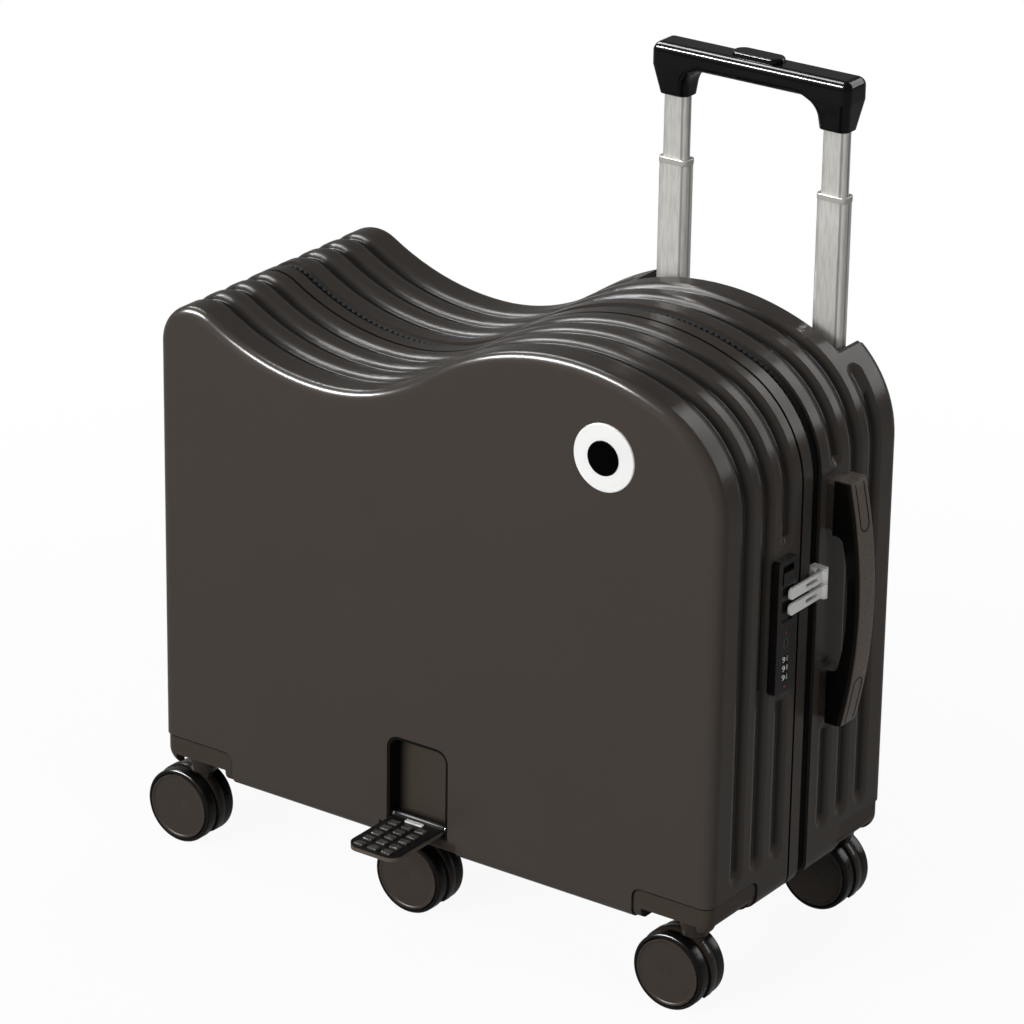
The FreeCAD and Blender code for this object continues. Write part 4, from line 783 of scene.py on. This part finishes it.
@dataclass
class ZipLook:
    """Zip of the two halves: woven tapes with teeth, and the fabric hinge at the tail end."""

    outline: SaddleOutline = field(default_factory=SaddleOutline)
    middle: float = 0.00575
    half_width: float = 0.00575
    parting: float = 0.0004
    sink: float = 0.0024
    tape_step: float = 0.006
    tape_thickness: float = 0.0016
    tape_folds: tuple[tuple[float, float], ...] = ((0.35, 0.0004), (0.75, 0.0), (1.0, 0.0012))
    upper_from: float = 0.2
    weave_smooth: float = 60.0
    tooth_pitch: float = 0.0024
    tooth_sink: float = 0.0008
    tooth_lean: float = 0.0013
    tooth_size: tuple[float, float, float] = (0.0015, 0.0030, 0.0010)
    hinge_low: float = 0.092
    hinge_high: float = 0.384
    hinge_trim: float = 0.001
    hinge_inset: float = 0.0016
    hinge_bow: float = 0.0022
    hinge_thickness: float = 0.0008
    hinge_slack: float = 1.05
    hinge_middle: float = 0.24
    hinge_cells: tuple[int, int] = (12, 60)
    tail_from: float = -0.23

    def build(self) -> None:
        """Make both tapes and the hinge strip."""
        for side, name, body in ((-1, "front_zip_tape", "front_case"), (1, "back_zip_tape", "back_case")):
            self.tape(side, name, body)
            self.teeth(side, name, body)
        self.hinge()

    def tape(self, side: int, name: str, body: str) -> None:
        """Woven tape of one half, folded over a cord edge at the teeth.

        Args:
            side: -1 for the front half, 1 for the back half.
            name: CAD node it stands for.
            body: body it rides on.
        """
        mesh = bmesh.new()
        rim = self.middle + side * self.half_width
        self.outline.wire(mesh, self.sink, rim, self.tape_step)
        edges = list(mesh.edges)
        inner = self.middle + side * self.parting
        for share, dip in self.tape_folds:
            grown = bmesh.ops.extrude_edge_only(mesh, edges=edges)["geom"]
            edges = only(grown, bmesh.types.BMEdge)
            target = rim + (inner - rim) * share
            for vert in only(grown, bmesh.types.BMVert):
                vert.co.y = target
                vert.co.z -= dip if vert.co.z > self.outline.floor + self.upper_from else -dip
        bmesh.ops.recalc_face_normals(mesh, faces=mesh.faces)
        bmesh.ops.solidify(mesh, geom=mesh.faces[:], thickness=self.tape_thickness)
        Piece(name + "_weave", body, "tape", ZIP_TAPE, (name,), self.weave_smooth).place(mesh)

    def teeth(self, side: int, name: str, body: str) -> None:
        """Row of small moulded teeth along the parting line.

        Args:
            side: -1 for the front half, 1 for the back half.
            name: CAD node of the tape.
            body: body it rides on.
        """
        guide = bmesh.new()
        chain = self.outline.wire(guide, self.sink + self.tooth_sink, self.middle, self.tooth_pitch)
        spots = [vert.co.copy() for vert in chain]
        guide.free()
        mesh = bmesh.new()
        size = Matrix.Diagonal((*self.tooth_size, 1.0))
        for number, spot in enumerate(spots):
            at_hinge = spot.x < self.tail_from and self.hinge_low < spot.z < self.hinge_high
            if at_hinge or number % 2 == (0 if side < 0 else 1):
                continue
            along = (spots[(number + 1) % len(spots)] - spots[number - 1]).normalized()
            turn = stood(along, Vector((0, 1, 0)), Vector((-along.z, 0, along.x)))
            centre = spot + Vector((0, side * self.tooth_lean, 0))
            bmesh.ops.create_cube(mesh, size=1.0, matrix=Matrix.Translation(centre) @ turn @ size)
        Piece(name.replace("tape", "teeth"), body, "tape", ZIP_TOOTH).place(mesh, tidy=False)

    def hinge(self) -> None:
        """Woven strip between the halves at the tail end, bowed in its middle."""
        mesh = bmesh.new()
        bmesh.ops.create_grid(mesh, x_segments=self.hinge_cells[0], y_segments=self.hinge_cells[1], size=0.5)
        width, height = 2 * self.half_width, self.hinge_high - self.hinge_low - self.hinge_trim
        x, mid = -self.outline.half_length + self.hinge_inset, (self.hinge_low + self.hinge_high) / 2
        lift = Matrix(((0, 0, 1, x), (width, 0, 0, self.middle), (0, height, 0, mid), (0, 0, 0, 1)))
        bmesh.ops.transform(mesh, matrix=lift, verts=mesh.verts)
        for vert in mesh.verts:
            share = (vert.co.y - self.middle) / self.half_width
            vert.co.x -= self.hinge_bow * (1 - share * share)
        bmesh.ops.solidify(mesh, geom=mesh.faces[:], thickness=self.hinge_thickness)
        strip = Piece("hinge_weave", None, "tape", ZIP_TAPE, ("hinge_tape",), self.weave_smooth).place(mesh)
        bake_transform(strip)
        2 * self.half_width * self.hinge_slack


@dataclass
class CasterLook:
    """Tyres and hubs of one caster."""

    tag: str
    radius: float = 0.0285
    hub_radius: float = 0.025
    inside: float = 0.0041
    outside: float = 0.0153
    axle_radius: float = 0.003
    lip: float = 0.0004
    lip_width: float = 0.0014
    dish: float = 0.0006
    dish_from: float = 0.0022
    crown: tuple[float, float] = (0.7, 0.3)
    hub_gap: float = 0.0001
    tyre_round: float = 0.0022
    hub_round: float = 0.0003
    tyre_steps: int = 72
    hub_steps: int = 64
    axle_steps: int = 24

    def build(self) -> None:
        """Make the pair of tyres and the pair of hubs."""
        low, high = (Vector(corner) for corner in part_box(f"{self.tag}_caster_tyres"))
        centre = (low + high) / 2
        body = f"{self.tag}_wheels"
        inner = self.hub_radius
        tyres = self.pair(centre, [
            (inner, self.inside), (self.radius, self.inside), (self.radius, self.outside), (inner, self.outside)],
            self.tyre_steps, self.tyre_round, 5)
        Piece(f"{self.tag}_tyre_pair", body, "tyre", TYRE, (f"{self.tag}_caster_tyres",), 40).place(tyres)
        rim, face = inner - self.hub_gap, self.outside
        hubs = self.pair(centre, [
            (self.axle_radius, self.inside), (rim, self.inside), (rim, face + self.lip),
            (rim - self.lip_width, face + self.lip), (rim - self.dish_from, face - self.dish),
            (self.crown[0] * rim, face - self.crown[1] * self.dish), (self.axle_radius, face)],
            self.hub_steps, self.hub_round, 2)
        turn = Matrix.Translation(centre) @ Matrix.Rotation(math.pi / 2, 4, "X")
        bmesh.ops.create_cone(hubs, cap_ends=True, segments=self.axle_steps, radius1=self.axle_radius,
                              radius2=self.axle_radius, depth=2 * face, matrix=turn)
        Piece(f"{self.tag}_hub_pair", body, "hub", HUB, (f"{self.tag}_caster_hubs",), 30).place(hubs)

    @staticmethod
    def pair(centre: Vector, profile: list[tuple[float, float]], steps: int, edge: float,
             segments: int) -> bmesh.types.BMesh:
        """A turned shape and its mirror image on the other side of the fork.

        Args:
            centre: middle of the axle.
            profile: half outline as (radius, place along Y) pairs.
            steps: divisions of a full turn.
            edge: rounding of its corners.
            segments: divisions of the rounding.

        Returns:
            Both shapes in one bmesh.
        """
        mesh = turned(profile, centre, steps, edge, segments)
        copy = bmesh.ops.duplicate(mesh, geom=mesh.verts[:] + mesh.edges[:] + mesh.faces[:])["geom"]
        flip = Matrix.Translation(centre) @ Matrix.Diagonal((1, -1, 1, 1)) @ Matrix.Translation(-centre)
        bmesh.ops.transform(mesh, matrix=flip, verts=only(copy, bmesh.types.BMVert))
        bmesh.ops.reverse_faces(mesh, faces=only(copy, bmesh.types.BMFace))
        return mesh


@dataclass
class DialLook:
    """One knurled number wheel of the lock."""

    level: str
    digits: int = 10
    notches: int = 40
    notch_share: float = 0.035
    rim_round: float = 0.0006
    digit_size: float = 0.0062
    digit_thickness: float = 0.00008
    digit_sink: float = 0.00005

    def build(self) -> None:
        """Make the wheel and its numbers."""
        node = f"lock_dial_{self.level}"
        low, high = (Vector(corner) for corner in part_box(node))
        centre, radius, width = (low + high) / 2, (high.x - low.x) / 2, high.z - low.z
        mesh = bmesh.new()
        bmesh.ops.create_cone(mesh, cap_ends=True, segments=self.notches * 2, radius1=radius, radius2=radius,
                              depth=width, matrix=Matrix.Translation(centre))
        for vert in mesh.verts:
            turn = math.atan2(vert.co.y - centre.y, vert.co.x - centre.x)
            if round(turn / (math.pi / self.notches)) % 2:
                vert.co.x += (centre.x - vert.co.x) * self.notch_share
                vert.co.y += (centre.y - vert.co.y) * self.notch_share
        rims = [e for e in mesh.edges if abs(e.verts[0].co.z - e.verts[1].co.z) < MERGE_DISTANCE]
        bmesh.ops.bevel(mesh, geom=rims, offset=self.rim_round, affect="EDGES", segments=2, profile=0.5, material=-1)
        Piece(f"{node}_wheel", f"dial_{self.level}", "dial", DIAL_BLACK, (node,), 25).place(mesh)
        numbers = bmesh.new()
        for digit in range(self.digits):
            self.number(numbers, str(digit), centre, radius, 2 * math.pi * (digit + 0.5) / self.digits)
        Piece(f"{node}_numbers", f"dial_{self.level}", "dial", DIGIT_WHITE).place(numbers, tidy=False)

    def number(self, mesh: bmesh.types.BMesh, text: str, centre: Vector, radius: float, turn: float) -> None:
        """Add one printed number to the wheel's rim.

        Args:
            mesh: where to add it.
            text: the digit.
            centre: middle of the wheel.
            radius: the wheel's radius.
            turn: angle round the wheel.
        """
        curve = bpy.data.curves.new("number", "FONT")
        curve.body, curve.size = text, self.digit_size
        curve.align_x, curve.align_y = "CENTER", "CENTER"
        curve.extrude = self.digit_thickness
        holder = bpy.data.objects.new("number", curve)
        data = bpy.data.meshes.new_from_object(holder)
        out = Vector((math.cos(turn), math.sin(turn), 0))
        place = stood(Vector((-out.y, out.x, 0)), Vector((0, 0, 1)), out)
        place.translation = centre + out * (radius - self.digit_sink)
        data.transform(place)
        mesh.from_mesh(data)
        bpy.data.objects.remove(holder)
        bpy.data.curves.remove(curve)
        bpy.data.meshes.remove(data)


@dataclass
class HandleLook:
    """Moulded lines at both ends of the carry handle's outer face."""

    middle_y: float = 0.02875
    low: float = 0.1835
    high: float = 0.365
    tip_x: float = 0.259
    crest_x: float = 0.270
    line_half: float = 0.0058
    line_length: float = 0.036
    line_width: float = 0.0009
    proud: float = 0.00025
    root: float = 0.0002
    end_gap: float = 0.0016
    steps: int = 32
    long_edge: float = 0.01
    long_cuts: int = 9

    def face_x(self, z: float) -> float:
        """Place of the outer face at a height."""
        half, rise = (self.high - self.low) / 2, self.crest_x - self.tip_x
        reach = (half * half + rise * rise) / (2 * rise)
        return self.crest_x - reach + math.sqrt(reach * reach - (z - (self.low + self.high) / 2) ** 2)

    def build(self) -> None:
        """Make the line at the upper and at the lower end."""
        for name, end, into in (("upper", self.high, -1), ("lower", self.low, 1)):
            Piece(f"carry_handle_{name}_line", "carry_handle", "handle", GRIP_GLOSS).place(self.line(end, into))

    def line(self, end: float, into: int) -> bmesh.types.BMesh:
        """Long loop, open at the handle's end.

        Args:
            end: height of the handle's end.
            into: 1 where the handle goes up from this end, else -1.

        Returns:
            The line as a thin raised ribbon.
        """
        mesh = bmesh.new()
        stand = Matrix(((0, 0, 1, 0), (1, 0, 0, self.middle_y), (0, 1, 0, end), (0, 0, 0, 1)))
        bmesh.ops.create_circle(mesh, cap_ends=True, segments=self.steps, radius=self.line_half, matrix=stand)
        for vert in mesh.verts:
            side = (vert.co.z - end) * into
            vert.co.z += into * (self.line_length - self.line_half if side > -MERGE_DISTANCE else 0.0)
        loop = bmesh.ops.inset_region(mesh, faces=mesh.faces[:], thickness=self.line_width, use_boundary=True,
                                      use_even_offset=True)
        ring = set(loop["faces"])
        bmesh.ops.delete(mesh, geom=[face for face in mesh.faces if face not in ring], context="FACES")
        bmesh.ops.subdivide_edges(mesh, edges=[e for e in mesh.edges if e.calc_length() > self.long_edge],
                                  cuts=self.long_cuts, use_grid_fill=True)
        bmesh.ops.bisect_plane(mesh, geom=mesh.verts[:] + mesh.edges[:] + mesh.faces[:], dist=1e-7,
                               plane_co=(0, 0, end + into * self.end_gap), plane_no=(0, 0, -into), clear_outer=True)
        for vert in mesh.verts:
            vert.co.x = self.face_x(vert.co.z) - self.root
        walls = bmesh.ops.extrude_face_region(mesh, geom=mesh.faces[:])["geom"]
        bmesh.ops.translate(mesh, vec=(self.proud + self.root, 0, 0), verts=only(walls, bmesh.types.BMVert))
        return mesh


@dataclass
class LockMarks:
    """Printed index marks beside the lock's dials and key core."""

    face_x: float = 0.2462
    spots: tuple[tuple[float, float], ...] = ((-0.0370, 0.2312), (-0.0370, 0.2712))
    radius: float = 0.0011
    top_share: float = 0.7
    thickness: float = 0.0003
    steps: int = 20

    def build(self) -> None:
        """Make the marks as thin dots with sloping sides."""
        mesh = bmesh.new()
        for y, z in self.spots:
            turn = Matrix.Translation((self.face_x, y, z)) @ Matrix.Rotation(math.pi / 2, 4, "Y")
            bmesh.ops.create_cone(mesh, cap_ends=True, segments=self.steps, radius1=self.radius,
                                  radius2=self.top_share * self.radius, depth=self.thickness, matrix=turn)
        Piece("lock_index_marks", "front_case", "lock_body", MARK_RED).place(mesh)


@dataclass
class CadDress:
    """Finishes and softened edges of the CAD nodes that stay shown."""

    finishes: dict[str, Finish] = field(default_factory=lambda: {
        "shell": CASE_SHELL, "housing": HOUSING, "lock_body": LOCK_BLACK, "dial": DIAL_BLACK, "tape": ZIP_TAPE,
        "key_metal": KEY_DARK, "zip_metal": ZIP_METAL, "handle": HANDLE_DARK, "eye_white": EYE_WHITE,
        "eye_black": EYE_BLACK, "footrest": STEP_BLACK, "footrest_pad": PAD_GLOSS, "steel_pin": PIN_STEEL,
        "grip": GRIP_GLOSS, "yoke": INNER_GREY, "tube": TUBE_METAL, "fork": FORK_GLOSS, "tyre": TYRE, "hub": HUB})
    single: dict[str, Finish] = field(default_factory=lambda: {
        "front_footrest_well": WELL_SATIN, "back_footrest_well": WELL_SATIN, "trolley_well": TRAY_DARK,
        "front_corner_guards": CORNER_SEAT, "back_corner_guards": CORNER_SEAT, "front_centre_mount": CENTRE_SEAT,
        "back_centre_mount": CENTRE_SEAT, "inner_tubes": INNER_TUBE, "middle_tubes": MIDDLE_TUBE})
    soft_edges: dict[str, float] = field(default_factory=lambda: {
        "lock_case": 0.0008, "lock_button": 0.0005, "carry_handle": 0.0012, "carry_handle_mounts": 0.0008,
        "front_footrest": 0.0009, "back_footrest": 0.0009, "front_footrest_pads": 0.0004, "back_footrest_pads": 0.0004,
        "upper_zip_slider": 0.0005, "lower_zip_slider": 0.0005, "upper_zip_pull": 0.0004, "lower_zip_pull": 0.0004,
        "trolley_button": 0.0006, "tube_collars": 0.0005, "trolley_well": 0.0005,
        "front_footrest_well": 0.0006, "back_footrest_well": 0.0006, "front_corner_guards": 0.0008,
        "back_corner_guards": 0.0008, "front_centre_mount": 0.0006, "back_centre_mount": 0.0006})
    fork_edge: float = 0.0007
    join_distance: float = 1e-5
    sharp_from: float = math.radians(38)

    def dress(self) -> None:
        """Give every node its finish and round the edges that are sharp."""
        slots = {entry["node"]: entry["material_slot"] for entry in frame["record"]["subparts"]}
        for name, item in frame["nodes"].items():
            finish = self.single.get(name) or self.finishes[slots[name]]
            if not item.material_slots:
                item.data.materials.append(None)
            for slot in item.material_slots:
                slot.material = finish.material()
            width = self.fork_edge if name.endswith("_fork") else self.soft_edges.get(name)
            if width:
                self.soften(item, width)

    def soften(self, item: bpy.types.Object, width: float) -> None:
        """Round an object's sharp edges.

        Args:
            item: the object.
            width: size of the rounding.
        """
        weld = item.modifiers.new("join_faces", "WELD")
        weld.merge_threshold = self.join_distance
        bevel = item.modifiers.new("soft_edges", "BEVEL")
        bevel.width, bevel.segments = width, 2
        bevel.limit_method, bevel.angle_limit = "ANGLE", self.sharp_from
        bevel.use_clamp_overlap = True
        bevel.harden_normals = True


class LampUse(Enum):
    """What a lamp is there for: to light surfaces evenly, or to give their highlights."""

    FILL = 0
    HIGHLIGHT = 1


@dataclass(frozen=True)
class Lamp:
    """One rectangular lamp: where it is, the point it faces, its width and height, and its strength in watts."""

    name: str
    stand: tuple[float, float, float]
    aim: tuple[float, float, float]
    size: tuple[float, float]
    power: float
    along: tuple[float, float, float] = (1.0, 0.0, 0.0)
    use: LampUse = LampUse.FILL

    def hang(self) -> None:
        """Add the lamp to the scene, its width as near to along as its aim allows."""
        data = bpy.data.lights.new(self.name, "AREA")
        data.shape, data.energy = "RECTANGLE", self.power
        data.size, data.size_y = self.size
        item = bpy.data.objects.new(self.name, data)
        back, along = (Vector(self.stand) - Vector(self.aim)).normalized(), Vector(self.along)
        wide = (along - along.project(back)).normalized()
        item.matrix_world = Matrix.Translation(self.stand) @ stood(wide, back.cross(wide), back)
        item.visible_diffuse = self.use is LampUse.FILL
        item.visible_glossy = self.use is LampUse.HIGHLIGHT
        bpy.context.scene.collection.objects.link(item)


ALONG_RIBS = (0.82, -0.40, 0.40)
UP_NOSE = (-0.5, 0.2, 0.8)
LAMPS = (
    Lamp("front_lamp", (-0.7, -3.3, 1.3), (0.0, 0.0, 0.25), (2.0, 1.6), 99.0),
    Lamp("end_lamp", (3.2, -0.8, 1.5), (0.2, 0.0, 0.3), (1.4, 1.2), 24.0),
    Lamp("back_lamp", (-0.8, 3.4, 0.6), (0.0, 0.0, 0.3), (2.0, 1.0), 55.0),
    Lamp("tail_lamp", (-3.3, 0.5, 0.7), (-0.2, 0.0, 0.3), (1.4, 1.0), 24.0),
    Lamp("top_lamp", (-0.6, 0.4, 3.0), (0.0, 0.0, 0.3), (1.6, 1.6), 7.0),
    Lamp("edge_lamp", (-1.45, -1.15, 2.4), (0.0, -0.1, 0.4), (2.4, 0.14), 700.0, ALONG_RIBS, LampUse.HIGHLIGHT),
    Lamp("rib_lamp", (-1.5, 0.7, 2.5), (0.0, 0.0, 0.4), (2.2, 0.22), 60.0, ALONG_RIBS, LampUse.HIGHLIGHT),
    Lamp("nose_lamp", (1.15, 2.3, 1.65), (0.2, 0.0, 0.4), (2.4, 0.5), 26.0, UP_NOSE, LampUse.HIGHLIGHT),
)


@dataclass
class Studio:
    """Camera, floor, lamps and surroundings."""

    azimuth: float = math.radians(35.05)
    elevation: float = math.radians(22.68)
    roll: float = math.radians(0.88)
    lens: float = 173.9
    sensor: float = 36.0
    view_end: float = 50.0
    stand: tuple[float, float, float] = (1.8580, -2.6618, 1.6421)
    floor_half: float = 6.0
    floor_cloud: float = 1.5
    floor_tones: tuple[float, float] = (0.90, 0.94)
    glow_reach: tuple[float, float] = (0.3, 1.1)
    near_glow: float = 0.93
    floor_bounce: float = 0.30
    sky_light: float = 0.17
    floor_in_mirror: float = 0.16
    sky_in_mirror: float = 0.08

    def build(self) -> None:
        """Set up everything round the object."""
        self.camera()
        self.floor()
        for lamp in LAMPS:
            lamp.hang()
        self.world()
        bpy.context.scene.view_settings.view_transform = "Standard"

    def camera(self) -> None:
        """Camera at the photograph's viewing angle."""
        az, el = self.azimuth, self.elevation
        forward = Vector((-math.sin(az) * math.cos(el), math.cos(az) * math.cos(el), -math.sin(el)))
        right = Vector((math.cos(az), math.sin(az), 0))
        up = right.cross(forward)
        level = right * math.cos(self.roll) + up * math.sin(self.roll)
        data = bpy.data.cameras.new("photo_camera")
        data.lens, data.sensor_width, data.clip_end = self.lens, self.sensor, self.view_end
        item = bpy.data.objects.new("photo_camera", data)
        item.matrix_world = Matrix.Translation(self.stand) @ stood(level, level.cross(forward), -forward)
        bpy.context.scene.collection.objects.link(item)
        bpy.context.scene.camera = item

    def floor(self) -> None:
        """Plain pale floor that keeps the object's shadow and is white for the camera further out."""
        mesh = bmesh.new()
        bmesh.ops.create_grid(mesh, x_segments=1, y_segments=1, size=self.floor_half)
        data = bpy.data.meshes.new("floor")
        mesh.to_mesh(data)
        mesh.free()
        item = bpy.data.objects.new("floor", data)
        bpy.context.scene.collection.objects.link(item)
        material = bpy.data.materials.new("floor_pale")
        material.use_nodes = True
        board = Board(material.node_tree)
        seen = self.seen(board, self.floor_in_mirror)
        away = board.add("ShaderNodeVectorMath", {"operation": "LENGTH"}, {0: board.place()}, output="Value")
        glow = board.add("ShaderNodeMapRange", {}, {
            "Value": away, "From Min": self.glow_reach[0], "From Max": self.glow_reach[1],
            "To Min": self.near_glow, "To Max": 1.0})
        pale = board.blend(board.noise(self.floor_cloud, 2.0), *((level,) * 3 for level in self.floor_tones))
        tint = board.blend(seen, (self.floor_bounce,) * 3, pale)
        matt = board.add("ShaderNodeBsdfDiffuse", {}, {"Color": tint})
        white = board.add("ShaderNodeEmission", {}, {"Color": WHITE, "Strength": 1.0})
        shown = board.add("ShaderNodeMixShader", {}, {0: seen * glow, 1: matt, 2: white})
        board.add("ShaderNodeOutputMaterial", {}, {"Surface": shown})
        data.materials.append(material)

    def world(self) -> None:
        """White for the camera, and dim as light and in reflections."""
        world = bpy.data.worlds.new("studio")
        bpy.context.scene.world = world
        world.use_nodes = True
        board = Board(world.node_tree)
        dim = board.add("ShaderNodeBackground", {}, {"Color": WHITE, "Strength": self.sky_light})
        white = board.add("ShaderNodeBackground", {}, {"Color": WHITE, "Strength": 1.0})
        sky = board.add("ShaderNodeMixShader", {}, {0: self.seen(board, self.sky_in_mirror), 1: dim, 2: white})
        board.add("ShaderNodeOutputWorld", {}, {"Surface": sky})

    @staticmethod
    def seen(board: Board, in_mirror: float) -> Wire:
        """How white the surroundings are where the camera, a reflection or clear material looks at them."""
        camera, mirror, clear = (board.add("ShaderNodeLightPath", output=f"Is {kind} Ray")
                                 for kind in ("Camera", "Glossy", "Transmission"))
        return camera.most(mirror * in_mirror).most(clear)


def main() -> None:
    """Build the studio and every sub-assembly in order."""
    logging.basicConfig(level=logging.INFO, format="%(message)s")
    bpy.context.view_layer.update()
    Studio().build()
    CadDress().dress()
    ZipLook().build()
    for side in ("front", "back"):
        for end in ("tail", "centre", "head"):
            CasterLook(f"{side}_{end}").build()
    for level in ("lower", "middle", "upper"):
        DialLook(level).build()
    LockMarks().build()
    HandleLook().build()


if __name__ == "__main__":
    main()
